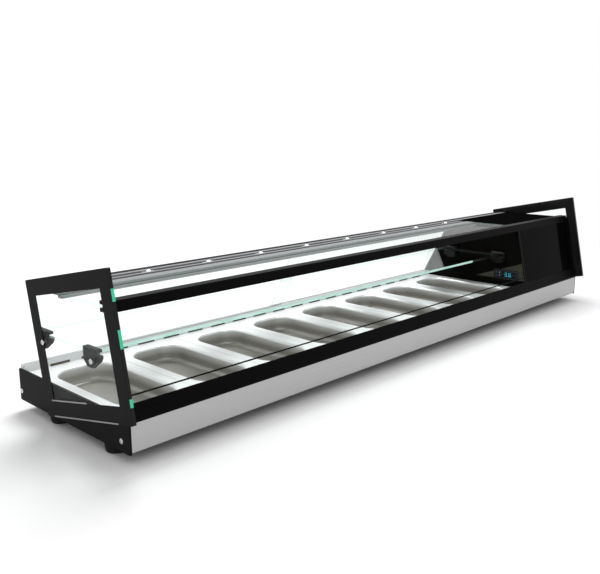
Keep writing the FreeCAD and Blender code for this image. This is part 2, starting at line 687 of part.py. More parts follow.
def make_pan(number):
    """Make one food pan: a flanged tub with round corners."""
    name = f"pan_{number}"
    body = new_body(name + "_body")
    flange = new_sketch(body, name + "_flange", "XY_Plane")
    centred(flange, "pan_width / 2", "pan_length / 2", "pan_corner")
    pad(body, name + "_rim", flange, "pan_gauge")
    side, end = "(pan_width / 2 - pan_flange)", "(pan_length / 2 - pan_flange)"
    tub = new_sketch(body, name + "_tub", "XY_Plane")
    centred(tub, side, end, "pan_tub_corner")
    pad(body, name + "_deep", tub, "pan_deep", reverse=True)
    tub_x, tub_y = worth(side) + 10 * NEAR, worth(end) + 10 * NEAR

    def on_tub(edge, level):
        """Say whether an edge lies level at a height, within the tub's outline."""
        box = edge.BoundBox
        inside = max(-box.XMin, box.XMax) < tub_x and max(-box.YMin, box.YMax) < tub_y
        return inside and lies_at(edge, level)

    round_edges(body, name + "_neck", "pan_shoulder - pan_gauge", lambda edge: on_tub(edge, 0))
    hollow = new_sketch(body, name + "_hollow", "XY_Plane")
    bind(hollow, "AttachmentOffset.Base.z", "pan_gauge")
    centred(hollow, f"({side} - pan_gauge)", f"({end} - pan_gauge)", "pan_tub_corner - pan_gauge")
    pocket(body, name + "_cavity", hollow, "pan_deep")
    brim, floor, heel = worth("pan_gauge"), worth("pan_gauge - pan_deep"), worth("0 - pan_deep")
    round_edges(body, name + "_floor", "pan_floor_corner - pan_gauge", lambda edge: lies_at(edge, floor))
    round_edges(body, name + "_heel", "pan_floor_corner", lambda edge: lies_at(edge, heel))
    round_edges(body, name + "_shoulder", "pan_shoulder", lambda edge: on_tub(edge, brim))
    x = f"pan_first + pan_pitch * {number - 1} + pan_pitch / 2"
    node(seat(body, x, "pan_front + pan_length / 2", "deck + pan_play"), name)


def lean_sheet(name, x, thick, screws, window=None):
    """Make a leaning end sheet with its screw holes, and with a window if it is a border."""
    body = new_body(name + "_sheet")
    sketch = new_sketch(body, name + "_outline", "YZ_Plane")
    rounded(sketch, "0", "0", "pane_width", "pane_rise", "pane_corner")
    if window:
        rounded(sketch, window, window, f"pane_width - {window}", f"pane_rise - {window}", "pane_corner / 2")
    pad(body, name + "_pad", sketch, thick)
    seat(body, x, "0 - pane_overhang", "pane_foot", LEAN_BACK)
    node(cut(name + "_drilled", body, *screws), name)


def make_end_glass(screws):
    """Make the two end panes with their opaque borders and thin strips."""
    strips = []
    for hand, glass_x, border_x, strip_x in (
        ("left", "border", "0", "0 - trim_proud"),
        ("right", "right_plate", "case_length - border", "case_length"),
    ):
        lean_sheet(f"{hand}_end_glass", glass_x, "pane", screws[hand])
        lean_sheet(f"{hand}_glass_border", border_x, "border", screws[hand], window="border_width")
        for name, along, up in (
            ("low", "trim_front", "trim_low"), ("high", "trim_high_front", "(border_width - trim_lap)"),
        ):
            y = f"0 - pane_overhang + {along} * cos(lean) + {up} * sin(lean)"
            z = f"pane_foot - {along} * sin(lean) + {up} * cos(lean)"
            long = f"pane_width - trim_rear - {along}"
            strips.append(
                block(f"{hand}_{name}_strip", strip_x, y, z, "trim_proud", long, "trim_height", LEAN_BACK)
            )
    node(group("strips", strips), "end_trim_strips")


def make_front_glass():
    """Make the leaning front glass, and the seal line across it."""
    x = "left_plate + glass_play"
    width = "housing_x - left_plate - 2 * glass_play"
    sheet_of_glass = block(
        "front_sheet", x, "glass_foot_y", "glass_foot_z", width, "glass", "glass_rise", LEAN_BACK
    )
    node(sheet_of_glass, "front_glass")
    y = "glass_foot_y + seal_up * sin(lean) - seal_thick * cos(lean)"
    z = "glass_foot_z + seal_up * cos(lean) + seal_thick * sin(lean)"
    node(block("seal_strip", x, y, z, width, "seal_thick", "seal_height", LEAN_BACK), "front_glass_seal")


def make_top_glass():
    """Make the flat top glass, from the front bar to the light rail."""
    front = f"({glass_back('top_level')} + bar_web + glass_play)"
    sheet_of_glass = block(
        "top_sheet", "left_plate + glass_play", front, "top_level - glass",
        "housing_x - left_plate - 2 * glass_play", f"rail_front - glass_play - {front}", "glass",
    )
    node(sheet_of_glass, "top_glass")


def make_front_bar():
    """Make the bar that joins the front glass to the top glass."""
    slot_low, slot_high = "top_level - glass - glass_play", "top_level + glass_play"
    crown = "(glass_foot_z + glass_rise * cos(lean) + glass_play)"
    web = f"({glass_back('top_level')} + bar_web)"
    corners = [
        (f"{glass_front('bar_low')} - bar_proud", "bar_low"),
        (f"{glass_front('bar_high')} - bar_proud", "bar_high"),
        ("bar_back", "bar_high"), ("bar_back", slot_high), (web, slot_high), (web, slot_low),
        ("bar_back", slot_low), ("bar_back", "bar_low"), (glass_back("bar_low"), "bar_low"),
        (glass_back(crown), crown), (f"{glass_front(crown)} - glass_play", crown),
        (f"{glass_front('bar_low')} - glass_play", "bar_low"),
    ]
    node(bar_along("front_bar", corners, "left_plate", "right_plate"), "top_front_bar")


def groove(start, width, deep):
    """List the corners of a groove down from the top level, from front to back."""
    end, floor = f"{start} + {width}", f"top_level - {deep}"
    return [(start, "top_level"), (start, floor), (end, floor), (end, "top_level")]


def make_light_rail():
    """Make the aluminium light rail across the top, with a window for each light module."""
    under = "top_level - led_channel_deep - rail_web"
    lip = "(top_level - glass - glass_play)"
    corners = [
        ("rail_front - rail_lip", f"{lip} - rail_lip_drop"), ("rail_front - rail_lip", lip),
        ("rail_front", lip),
        ("rail_front", "top_level"), *groove("rail_groove_y", "rail_groove", "rail_groove_deep"),
        *groove("led_channel_y", "led_channel", "led_channel_deep"), ("rail_rear", "top_level"),
        ("rail_rear", "track_step"), ("rail_heel", "track_step"), ("rail_heel", "rail_low"),
        ("rail_heel - rail_wall", "rail_low"), ("rail_heel - rail_wall", under),
        ("rail_front + rail_wall", under), ("rail_front + rail_wall", f"{lip} - rail_lip_drop"),
    ]
    rail = bar_along("rail_profile", corners, "left_plate", "right_plate")
    sketch = new_sketch(rail, "light_window", "XY_Plane")
    middle = "led_first - left_plate"
    rounded(
        sketch, f"{middle} - led_length / 2 + window_end", "led_y + window_side",
        f"{middle} + led_length / 2 - window_end", "led_y + led_width - window_side", "window_corner",
    )
    window = pocket(rail, "light_window_cut", sketch, "top_level", reverse=True)
    repeat(rail, window, "X_Axis", "led_count", "led_pitch")
    node(rail, "light_rail")


def make_light_modules():
    """Make the light modules: a board with a domed lens for each window of the rail."""
    modules = []
    floor = "top_level - led_channel_deep"
    for i in range(int(worth("led_count"))):
        name = f"light_{i + 1}"
        centre = f"led_first + led_pitch * {i}"
        board = block(
            name + "_board", f"{centre} - led_length / 2", "led_y", floor, "led_length", "led_width",
            "led_board",
        )
        lens = doc.addObject("Part::Sphere", name + "_lens")
        bind(lens, "Radius", "led_lens")
        lens.Angle1 = 0
        seat(lens, centre, "led_y + led_width / 2", f"{floor} + led_board - led_lens / 2")
        modules.append(join(name, board, lens))
    node(group("lights", modules), "light_modules")


def door_slot(name, inner, x_from, upper):
    """Make the block that cuts one door's groove, in the upper or the lower track."""
    offset = "(2 * door + door_gap + door_play)" if inner else "(door + door_play)"
    up, rise = ("(door_rise / 2)", "door_rise / 2 + door_room") if upper else ("(0 - door_play)", "door_rise")
    y = f"door_foot_y - {offset} * cos(door_lean) - {up} * sin(door_lean)"
    z = f"door_foot_z - {offset} * sin(door_lean) + {up} * cos(door_lean)"
    return block(name, x_from, y, z, f"housing_x - {x_from}", "door + 2 * door_play", rise, LEAN_IN)


def make_tracks():
    """Make the two grooved tracks that the rear doors slide in."""
    wall = "track_wall / cos(door_lean)"
    front = "rail_rear + glass_play"
    corners = [
        (f"{door_in('track_step')} - {wall}", "track_step"), (front, "track_step"), (front, "track_high"),
        (f"{door_out('track_high')} + {wall}", "track_high"),
        (f"{door_out('track_low')} + {wall}", "track_low"),
        (f"{door_in('track_low')} - {wall}", "track_low"),
    ]
    upper = bar_along("upper_track", corners, "left_plate", "right_plate")
    slots = [door_slot("upper_slot_in", True, "left_plate", True),
             door_slot("upper_slot_out", False, "left_plate", True)]
    node(cut("upper_track_cut", upper, *slots), "rear_top_track")

    crest = "(door_foot_z + track_crest)"
    front = "base_depth - track_front"
    corners = [
        (front, "deck"), ("tray_inner", "deck"), ("tray_inner", "deck - track_hem"),
        ("base_depth", "deck - track_hem"), ("base_depth", "door_foot_z"),
        (f"{door_out(crest)} + {wall} / 2", crest), (f"{door_in(crest)} - {wall}", crest),
        (front, "deck + track_nose"),
    ]
    lower = bar_along("lower_track", corners, "left_face", "housing_x")
    slots = [door_slot("lower_slot_in", True, "left_face", False),
             door_slot("lower_slot_out", False, "left_face", False)]
    node(cut("lower_track_cut", lower, *slots), "rear_bottom_track")


def make_doors():
    """Make the two sliding rear doors and a finger grip for each."""
    for hand, offset, x, grip_x in (
        ("left", "(2 * door + door_gap)", "left_face + door_side_gap",
         "left_face + door_side_gap + grip_inset"),
        ("right", "door", "housing_x - door_side_gap - door_width",
         "housing_x - door_side_gap - grip_inset - grip_width"),
    ):
        y = f"door_foot_y - {offset} * cos(door_lean)"
        z = f"door_foot_z - {offset} * sin(door_lean)"
        sheet_block = block(f"{hand}_door_sheet", x, y, z, "door_width", "door", "door_rise", LEAN_IN)
        node(sheet_block, f"{hand}_rear_door")
        body = new_body(f"{hand}_grip_body")
        sketch = new_sketch(body, f"{hand}_grip_outline", "XZ_Plane")
        slot(sketch, "0", "0", "grip_rise", "grip_width", upright=True)
        pad(body, f"{hand}_grip_pad", sketch, "grip_proud", reverse=True)
        reach = f"({offset} - door)"
        y = f"door_foot_y - {reach} * cos(door_lean) - grip_up * sin(door_lean)"
        z = f"door_foot_z - {reach} * sin(door_lean) + grip_up * cos(door_lean)"
        node(seat(body, grip_x, y, z, LEAN_IN), f"{hand}_door_grip")


def make_clamp(name, x, y, turn):
    """Make one shelf clamp: a jaw on a gusset that narrows towards its foot."""
    gusset = new_body(name + "_gusset")
    sketch = new_sketch(gusset, name + "_section", "XZ_Plane")
    jaw_low, jaw_high = "(shelf_level - shelf - clamp_jaw_play)", "shelf_level + clamp_jaw_play"
    corners = [
        ("0", "clamp_high"), ("clamp_reach - 2 * clamp_edge", "clamp_high"),
        ("clamp_reach - clamp_edge", "clamp_high - clamp_edge"), ("clamp_reach - clamp_edge", jaw_high),
        ("clamp_root", jaw_high), ("clamp_root", jaw_low), ("clamp_reach", jaw_low),
        ("clamp_reach", f"{jaw_low} - clamp_jaw"), ("clamp_toe", "clamp_low"), ("0", "clamp_low"),
    ]
    outline(sketch, corners)
    pad(gusset, name + "_gusset_pad", sketch, "clamp_length", middle=True)
    seat(gusset, x, y, "0", turn)
    shield = new_body(name + "_shield")
    sketch = new_sketch(shield, name + "_face", "YZ_Plane")
    half, tip, knee = "clamp_length / 2", "clamp_tip / 2", "clamp_low + clamp_taper"
    corners = [
        (f"0 - {half}", "clamp_high"), (f"0 - {half}", knee), (f"0 - {tip}", "clamp_low"),
        (tip, "clamp_low"), (half, knee), (half, "clamp_high"),
    ]
    outline(sketch, corners)
    pad(shield, name + "_shield_pad", sketch, "clamp_reach")
    seat(shield, x, y, "0", turn)
    clamp = doc.addObject("Part::Common", name)
    clamp.Base = gusset
    clamp.Tool = shield
    return clamp


def make_shelf(clamp_screws):
    """Make the glass shelf and the four clamps that grip it."""
    body = new_body("shelf_sheet")
    sketch = new_sketch(body, "shelf_outline", "XY_Plane")
    left, right = "left_plate + clamp_root + shelf_play", "housing_x - clamp_root - shelf_play"
    rounded(sketch, left, "shelf_front", right, "shelf_rear", "shelf_corner")
    pad(body, "shelf_pad", sketch, "shelf")
    node(seat(body, "0", "0", "shelf_level - shelf"), "shelf_glass")
    clamps = []
    for hand, x, turn in (("left", "left_plate", None), ("right", "housing_x", ((0, 0, 1), "180"))):
        for place in ("front", "rear"):
            clamps.append(make_clamp(f"{hand}_{place}_clamp", x, f"{place}_clamp_y", turn))
    node(cut("clamps_drilled", group("clamps", clamps), *clamp_screws), "shelf_clamps")


def wall_corners(bottom):
    """List the corners of a housing wall that clears the sill, the bar, the rail and the tracks."""
    brow, heel = "(sill_top + sill_gap)", "(door_foot_z + wall_heel)"
    bar_under, rail_under = "(bar_low - fit_play)", "(rail_low - fit_play)"
    track_under, lip = "(track_low - fit_play)", "rail_front - rail_lip - fit_play"
    toe, back = "sill_back + wall_step", "tray_inner - wall_rear_gap"
    skin = "panel / cos(lean) + glass_play"
    return [
        (toe, bottom), (back, bottom), (back, "door_foot_z"), (f"{door_out(heel)} - wall_door_gap", heel),
        (f"{door_out(track_under)} - wall_door_gap", track_under),
        (f"{door_in('track_low')} - track_wall / cos(door_lean) - fit_play", track_under),
        ("rail_heel + fit_play", rail_under), (lip, rail_under), (lip, "top_level + lid_play"),
        ("bar_back + fit_play", "top_level + lid_play"), ("bar_back + fit_play", bar_under),
        (f"{glass_front(bar_under)} + {skin}", bar_under), (f"{glass_front(brow)} + {skin}", brow),
        (toe, brow),
    ]


def control_block(name, x, length):
    """Make a block with the section of the thermostat's body, over a length of the case."""
    return block(
        name, x, "bezel_front + body_inset", "bezel_low + (bezel_rise - body_rise) / 2", length,
        "bezel_width - 2 * body_inset", "body_rise",
    )


def make_housing(control_way, coil_way, clamp_screws):
    """Make the machine housing: wall, front panel, lid, right panel and rear grille."""
    wall = bar_along("wall_sheet", wall_corners("tray_top"), "housing_x", "housing_x + wall")
    node(cut("wall_cut", wall, control_way, coil_way), "housing_wall")
    front = block(
        "front_panel_sheet", "housing_x + glass_play", "glass_foot_y", "glass_foot_z",
        "right_plate - housing_x - 2 * glass_play", "panel", "glass_rise", LEAN_BACK,
    )
    node(front, "housing_front_panel")
    lid = block(
        "lid_sheet", "housing_x - glass_play", "bar_back", "top_level + lid_play", "right_plate - housing_x",
        "lid_rear - bar_back", "lid",
    )
    node(lid, "housing_lid")

    corners = wall_corners("base_height + fit_play")
    right = bar_along("right_sheet", corners, "right_plate - wall", "right_plate")
    sketch = new_sketch(right, "louvre_outline", "YZ_Plane")
    slot(sketch, "louvre_front", "louvre_start", "louvre_length", "louvre_slot")
    louvre = pocket(right, "louvre", sketch, middle=True)
    repeat(right, louvre, "Z_Axis", "louvre_rows", "louvre_pitch")
    node(cut("right_drilled", right, *clamp_screws), "housing_right_panel")

    grille = new_body("grille_sheet")
    sketch = new_sketch(grille, "grille_outline", "XZ_Plane")
    wide = "(right_face - housing_x - wall - 2 * grille_gap)"
    high = "(grille_top - door_foot_z) / cos(door_lean)"
    rounded(sketch, "0", "0", wide, high, "grille_corner")
    pad(grille, "grille_pad", sketch, "grille")
    sketch = new_sketch(grille, "grille_slot_outline", "XZ_Plane")
    slot(sketch, "grille_margin", "grille_slot_start", f"{wide} - 2 * grille_margin", "grille_slot")
    opening = pocket(grille, "grille_opening", sketch, middle=True)
    repeat(grille, opening, "Z_Axis", "grille_rows", "grille_pitch")
    node(seat(grille, "housing_x + wall + grille_gap", "door_foot_y", "door_foot_z", LEAN_IN), "rear_grille")


def key_places():
    """List the four thermostat keys by name and by their low corners in y and z."""
    rear = "(bezel_front + bezel_width - key_inset - key_width)"
    low = "(bezel_low + (bezel_rise - 2 * key_rise - key_gap) / 2)"
    high = f"({low} + key_rise + key_gap)"
    front = f"({rear} - key_width - key_gap)"
    return (
        ("down_key", front, low), ("up_key", front, high), ("power_key", rear, low), ("set_key", rear, high),
    )


def make_thermostat(control_way):
    """Make the control panel, the thermostat, its display and its four keys."""
    plate_x = "housing_x - control_panel"
    corners = [
        (f"{glass_back('control_low')} + control_gap", "control_low"), ("control_rear", "control_low"),
        (f"{glass_back('control_high')} + control_gap", "control_high"),
    ]
    plate = bar_along("control_sheet", corners, plate_x, "housing_x")
    node(cut("control_cut", plate, control_way), "control_panel_plate")

    face = f"{plate_x} - bezel_proud"
    bezel = new_body("bezel_body")
    sketch = new_sketch(bezel, "bezel_outline", "YZ_Plane")
    right, top = "bezel_front + bezel_width", "bezel_low + bezel_rise"
    rounded(sketch, "bezel_front", "bezel_low", right, top, "bezel_corner")
    pad(bezel, "bezel_pad", sketch, "bezel_proud")
    round_edges(bezel, "bezel_soft", "bezel_edge", lambda edge: edge.BoundBox.XMax < NEAR)
    seat(bezel, face)
    solid = join("thermostat_solid", bezel, control_block("thermostat_body", plate_x, "body_depth"))
    start = f"{face} - cut_over"
    window = ("bezel_front + display_inset", "bezel_low + (bezel_rise - display_rise) / 2")
    holes = [
        block("display_recess", start, *window, "display_deep + cut_over", "display_width", "display_rise")
    ]
    for name, y, z in key_places():
        hole = block(
            name + "_hole", start, f"{y} - key_play", f"{z} - key_play", "key_deep + cut_over",
            "key_width + 2 * key_play", "key_rise + 2 * key_play",
        )
        holes.append(hole)
        key = new_body(name + "_body")
        sketch = new_sketch(key, name + "_outline", "YZ_Plane")
        rounded(sketch, y, z, f"{y} + key_width", f"{z} + key_rise", "key_corner")
        pad(key, name + "_pad", sketch, "key_thick")
        round_edges(key, name + "_soft", "key_edge", lambda edge: edge.BoundBox.XMax < NEAR)
        node(seat(key, f"{face} - key_proud"), name)
    node(cut("thermostat_cut", solid, *holes), "thermostat_case")
    display = block(
        "display_sheet", f"{face} + display_sunk", *window, "display_deep - display_sunk", "display_width",
        "display_rise",
    )
    node(display, "thermostat_display")


def make_compressor():
    """Make the hermetic compressor on its rubber-mounted foot plate."""
    parts = [rod("shell_barrel", "shell_x", "shell_y", "shell_low", "shell_radius", "shell_body")]
    for name, level in (("shell_bottom", "shell_low"), ("shell_top", "shell_low + shell_body")):
        dome = doc.addObject("Part::Ellipsoid", name)
        bind(dome, "Radius1", "shell_dome")
        bind(dome, "Radius2", "shell_radius")
        parts.append(seat(dome, "shell_x", "shell_y", level))
    plate = block(
        "shell_mount", "shell_x - shell_plate_x / 2", "shell_y - shell_plate_y / 2", "shell_foot",
        "shell_plate_x", "shell_plate_y", "shell_plate",
    )
    parts.append(plate)
    for side_x in ("-", "+"):
        for side_y in ("-", "+"):
            x = f"shell_x {side_x} (shell_plate_x / 2 - grommet_inset)"
            y = f"shell_y {side_y} (shell_plate_y / 2 - grommet_inset)"
            name = f"grommet_{len(parts) - 3}"
            parts.append(rod(name, x, y, "tray_top", "grommet_radius", "grommet_height"))
    node(join("shell", *parts), "compressor")


def make_condenser():
    """Make the finned condenser beside the right-hand louvres."""
    body = new_body("condenser_body")
    sketch = new_sketch(body, "condenser_outline", "YZ_Plane")
    rounded(sketch, "0", "0", "condenser_width", "condenser_rise", "condenser_corner")
    pad(body, "condenser_pad", sketch, "condenser_thick")
    sketch = new_sketch(body, "fin_outline", "YZ_Plane")
    slot(sketch, "fin_margin", "fin_margin", "condenser_rise - 2 * fin_margin", "fin_slot", upright=True)
    gap = pocket(body, "fin_gap", sketch, middle=True)
    repeat(body, gap, "Y_Axis", "floor((condenser_width - 2 * fin_margin) / fin_pitch)", "fin_pitch")
    seat(body, "condenser_x", "condenser_y", "condenser_low")
    legs = []
    for name, y in (
        ("front_leg", "condenser_y"), ("rear_leg", "condenser_y + condenser_width - condenser_leg"),
    ):
        leg = block(name, "condenser_x", y, "tray_top", "condenser_thick", "condenser_leg", "condenser_lift")
        legs.append(leg)
    node(join("condenser_all", body, *legs), "condenser")


def fan_blade(number):
    """Make one pitched blade, turned about the fan's axis."""
    name = f"blade_{number + 1}"
    body = new_body(name)
    sketch = new_sketch(body, name + "_section", "XY_Plane")
    chord, gauge = "fan_blade_chord / 2", "fan_blade_gauge / 2"
    sine, cosine = "sin(fan_blade_pitch)", "cos(fan_blade_pitch)"
    corners = [
        (f"0 - {chord} * {sine} - {gauge} * {cosine}", f"0 - {chord} * {cosine} + {gauge} * {sine}"),
        (f"0 - {chord} * {sine} + {gauge} * {cosine}", f"0 - {chord} * {cosine} - {gauge} * {sine}"),
        (f"{chord} * {sine} + {gauge} * {cosine}", f"{chord} * {cosine} - {gauge} * {sine}"),
        (f"{chord} * {sine} - {gauge} * {cosine}", f"{chord} * {cosine} + {gauge} * {sine}"),
    ]
    outline(sketch, corners)
    bind(sketch, "AttachmentOffset.Base.z", "fan_hub - blade_root")
    pad(body, name + "_pad", sketch, "fan_blade_radius - fan_hub + blade_root")
    angle = f"360 * {number} / fan_blades + blade_start"
    return seat(body, "hub_x + fan_hub_length / 2", "fan_y", "fan_level", ((1, 0, 0), angle))


def make_fan():
    """Make the fan: its frame, its motor, and the blade with its shaft."""
    low_y, low_z = "fan_y - fan_size / 2", "fan_level - fan_size / 2"
    shell = block("fan_plate", "fan_x", low_y, low_z, "fan_depth", "fan_size", "fan_size")
    mouth = rod(
        "fan_mouth", "fan_x - cut_over", "fan_y", "fan_level", "fan_opening", "fan_depth + 2 * cut_over", "x"
    )
    ring = cut("fan_ring", shell, mouth)
    reach = "(fan_opening + spoke_root)"
    level = block(
        "spoke_level", "fan_x", f"fan_y - {reach}", "fan_level - fan_spoke / 2", "fan_spoke_gauge",
        f"2 * {reach}", "fan_spoke",
    )
    upright = block(
        "spoke_upright", "fan_x", "fan_y - fan_spoke / 2", f"fan_level - {reach}", "fan_spoke_gauge",
        "fan_spoke", f"2 * {reach}",
    )
    foot = block("fan_foot", "fan_x", low_y, "tray_top", "fan_depth", "fan_size", f"{low_z} - tray_top")
    motor_x = "fan_x + fan_spoke_gauge - motor_length"
    motor = rod("motor_can", motor_x, "fan_y", "fan_level", "motor_radius", "motor_length", "x")
    node(cut("fan_frame_cut", join("fan_frame_solid", ring, foot, level, upright), motor), "fan_frame")
    bore_x = "fan_x + fan_spoke_gauge - shaft_length"
    bore = rod(
        "motor_bore", bore_x, "fan_y", "fan_level", "shaft_radius + shaft_play", "shaft_length + cut_over", "x"
    )
    node(cut("motor", motor, bore), "fan_motor")
    hub = rod("hub", "hub_x", "fan_y", "fan_level", "fan_hub", "fan_hub_length", "x")
    shaft = rod(
        "shaft", f"{bore_x} + shaft_end_gap", "fan_y", "fan_level", "shaft_radius",
        "shaft_length + fan_hub_gap", "x",
    )
    blades = [fan_blade(number) for number in range(int(worth("fan_blades")))]
    node(join("rotor", hub, shaft, *blades), "fan_blade")


def make_pipes():
    """Make the copper pipes between the compressor, the condenser and the evaporator."""
    shell_x, shell_y = worth("shell_x"), worth("shell_y")
    crown = worth("shell_low + shell_body + shell_dome - pipe_sink")
    side = worth("shell_low + shell_body / 2")
    middle = worth("condenser_x + condenser_thick / 2")
    level, low = worth("discharge_level"), worth("liquid_level")
    coil_start, *_, coil_end = coil_points()
    riser = coil_end.x + worth("suction_run")
    discharge = [
        FreeCAD.Vector(shell_x, shell_y, crown), FreeCAD.Vector(shell_x, shell_y, level),
        FreeCAD.Vector(middle, shell_y, level), FreeCAD.Vector(middle, shell_y, worth("condenser_high")),
    ]
    suction = [
        coil_end, FreeCAD.Vector(riser, coil_end.y, coil_end.z), FreeCAD.Vector(riser, coil_end.y, side),
        FreeCAD.Vector(shell_x, coil_end.y, side),
        FreeCAD.Vector(shell_x, worth("shell_y + shell_radius - pipe_sink"), side),
    ]
    liquid = [
        coil_start, FreeCAD.Vector(middle, coil_start.y, coil_start.z),
        FreeCAD.Vector(middle, coil_start.y, low),
        FreeCAD.Vector(middle, worth("condenser_y + pipe_sink"), low),
    ]
    pipes = []
    for name, points, bend in (
        ("discharge", discharge, "pipe_bend"), ("suction", suction, "pipe_bend"),
        ("liquid", liquid, "liquid_bend"),
    ):
        shape = tube_shape(points, worth(bend), worth("pipe_radius"))
        pipes.append(placed_feature(name + "_pipe", shape))
    machines = [doc.getObject(name) for name in ("shell_top", "shell_barrel", "condenser_body")]
    node(cut("pipes", group("pipe_runs", pipes), *machines), "refrigerant_pipes")


def make_feet():
    """Make the four round rubber feet."""
    feet = []
    corners = [
        ("0", "0 - foot_height"), ("foot_radius", "0 - foot_height"), ("foot_radius", "tray_bottom"),
        ("0", "tray_bottom"),
    ]
    floor = worth("0 - foot_height") + NEAR
    for hand, x in (("left", "left_plate + foot_inset"), ("right", "right_plate - foot_inset")):
        for place in ("front", "rear"):
            name = f"{hand}_{place}_foot"
            body = new_body(name)
            sketch = new_sketch(body, name + "_section", "XZ_Plane")
            outline(sketch, corners)
            turned(body, name + "_turned", sketch)
            round_edges(body, name + "_soft", "foot_edge", lambda edge: edge.BoundBox.ZMax < floor)
            feet.append(seat(body, x, f"{place}_foot_y"))
    node(group("foot_set", feet), "rubber_feet")


def make_inlet():
    """Make the mains inlet: a flanged socket with three flat pins."""
    flange = new_body("inlet_flange")
    sketch = new_sketch(flange, "inlet_outline", "XZ_Plane")
    centred(sketch, "inlet_width / 2", "inlet_rise / 2", "inlet_edge")
    pad(flange, "inlet_flange_pad", sketch, "tray_recess", reverse=True)
    seat(flange, "inlet_x", "tray_rear", "inlet_level")
    cavity = block(
        "inlet_cavity", "inlet_x - inlet_cavity_width / 2", "base_depth - inlet_cavity_deep",
        "inlet_level - inlet_cavity_rise / 2", "inlet_cavity_width", "inlet_cavity_deep + cut_over",
        "inlet_cavity_rise",
    )
    shell = cut("inlet_shell", join("inlet_solid", flange, inlet_block("inlet_box")), cavity)
    pins = []
    for name, x, lift in (
        ("near", "- inlet_pin_pitch", "-"), ("mid", "", "+"), ("far", "+ inlet_pin_pitch", "-"),
    ):
        pin = block(
            name + "_pin", f"inlet_x {x} - inlet_pin / 2", "base_depth - inlet_cavity_deep - inlet_pin_root",
            f"inlet_level {lift} inlet_pin_lift - inlet_pin_rise / 2", "inlet_pin",
            "inlet_pin_length + inlet_pin_root", "inlet_pin_rise",
        )
        pins.append(pin)
    node(join("inlet", shell, *pins), "power_inlet")


def make_switch():
    """Make the light switch: its frame, and the rocker that tips in it."""
    half, half_rise = "switch_width / 2", "switch_rise / 2"
    flange = block(
        "switch_flange", f"switch_x - {half} - switch_flange", "tray_rear",
        f"inlet_level - {half_rise} - switch_flange", "switch_width + 2 * switch_flange", "tray_recess",
        "switch_rise + 2 * switch_flange",
    )
    cavity = block(
        "switch_cavity", f"switch_x - {half} + rocker_wall", "tray_rear - switch_frame_deep + rocker_wall",
        f"inlet_level - {half_rise} + rocker_wall", "switch_width - 2 * rocker_wall",
        "switch_frame_deep + tray_recess", "switch_rise - 2 * rocker_wall",
    )
    solid = join("switch_solid", flange, switch_block("switch_box"))
    node(cut("switch_frame", solid, cavity), "light_switch_frame")

    body = new_body("rocker_body")
    sketch = new_sketch(body, "rocker_section", "YZ_Plane")
    reach = f"({half_rise} - rocker_wall - rocker_play - rocker_end_play)"
    corners = [
        ("0 - rocker_deep", f"0 - {reach} * rocker_root"), ("0 - rocker_chin", f"0 - {reach}"),
        ("rocker_lip", f"0 - {reach}"), ("0 - rocker_dip", "0"), ("rocker_lip", reach),
        ("0 - rocker_chin", reach),
        ("0 - rocker_deep", f"{reach} * rocker_root"),
    ]
    outline(sketch, corners)
    pad(body, "rocker_pad", sketch, "switch_width - 2 * rocker_wall - 2 * rocker_play", middle=True)
    rocker = seat(body, "switch_x", "tray_rear - rocker_sunk", "inlet_level", ((1, 0, 0), "rocker_tilt"))
    node(rocker, "light_switch_rocker")


clamp_screws, plate_screws, end_screws = {}, {}, {}
for end in ("left", "right"):
    clamp_screws[end], plate_screws[end] = screws_at(end)
    end_screws[end] = clamp_screws[end] + plate_screws[end]
node(group("screw_set", end_screws["left"] + end_screws["right"]), "steel_screws")
make_base_plates(end_screws)
make_end_glass(end_screws)
drain = make_drain()
make_tray(drain)
make_fascia()
make_sill()
well_tub = make_well(drain)
coil = make_evaporator(well_tub, drain, plate_screws["left"])
for pan_number in range(1, int(worth("pan_count")) + 1):
    make_pan(pan_number)
make_front_glass()
make_top_glass()
make_front_bar()
make_light_rail()
make_light_modules()
make_tracks()
make_doors()
make_shelf(clamp_screws["left"])
control = control_block(
    "control_way", "housing_x - control_panel - cut_over", "control_panel + wall + 2 * cut_over"
)
make_housing(control, coil, clamp_screws["right"])
make_thermostat(control)
make_compressor()
make_condenser()
make_fan()
make_pipes()
make_feet()
make_inlet()
make_switch()
doc.removeObject(gauge.Name)
doc.recompute()

for item in doc.Objects:
    if "Invalid" in item.State or "Error" in item.State:
        raise RuntimeError(f"{item.Label} failed: {item.State}")
names = [item.Label for item in NODES]
if len(set(names)) != len(names):
    raise RuntimeError("two pieces share a name")
for item in NODES:
    if item.Shape.isNull() or not item.Shape.isValid() or not item.Shape.Solids:
        raise RuntimeError(f"{item.Label} has no valid solid")

os.makedirs("parts", exist_ok=True)
for item in NODES:
    item.Shape.exportStep(f"parts/{item.Label}.step")
print(len(NODES), "pieces written")
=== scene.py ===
"""Dresses the refrigerated deli case: finishes for every solid, and the small pieces that finish them.

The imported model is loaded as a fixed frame.  Each sub-assembly of the case is a class that gives its
solids their finishes and builds the fine pieces that ride on them.  Lengths are in metres.
"""
import logging
import math
from dataclasses import dataclass
from enum import Enum
from typing import Any, Iterable, Sequence

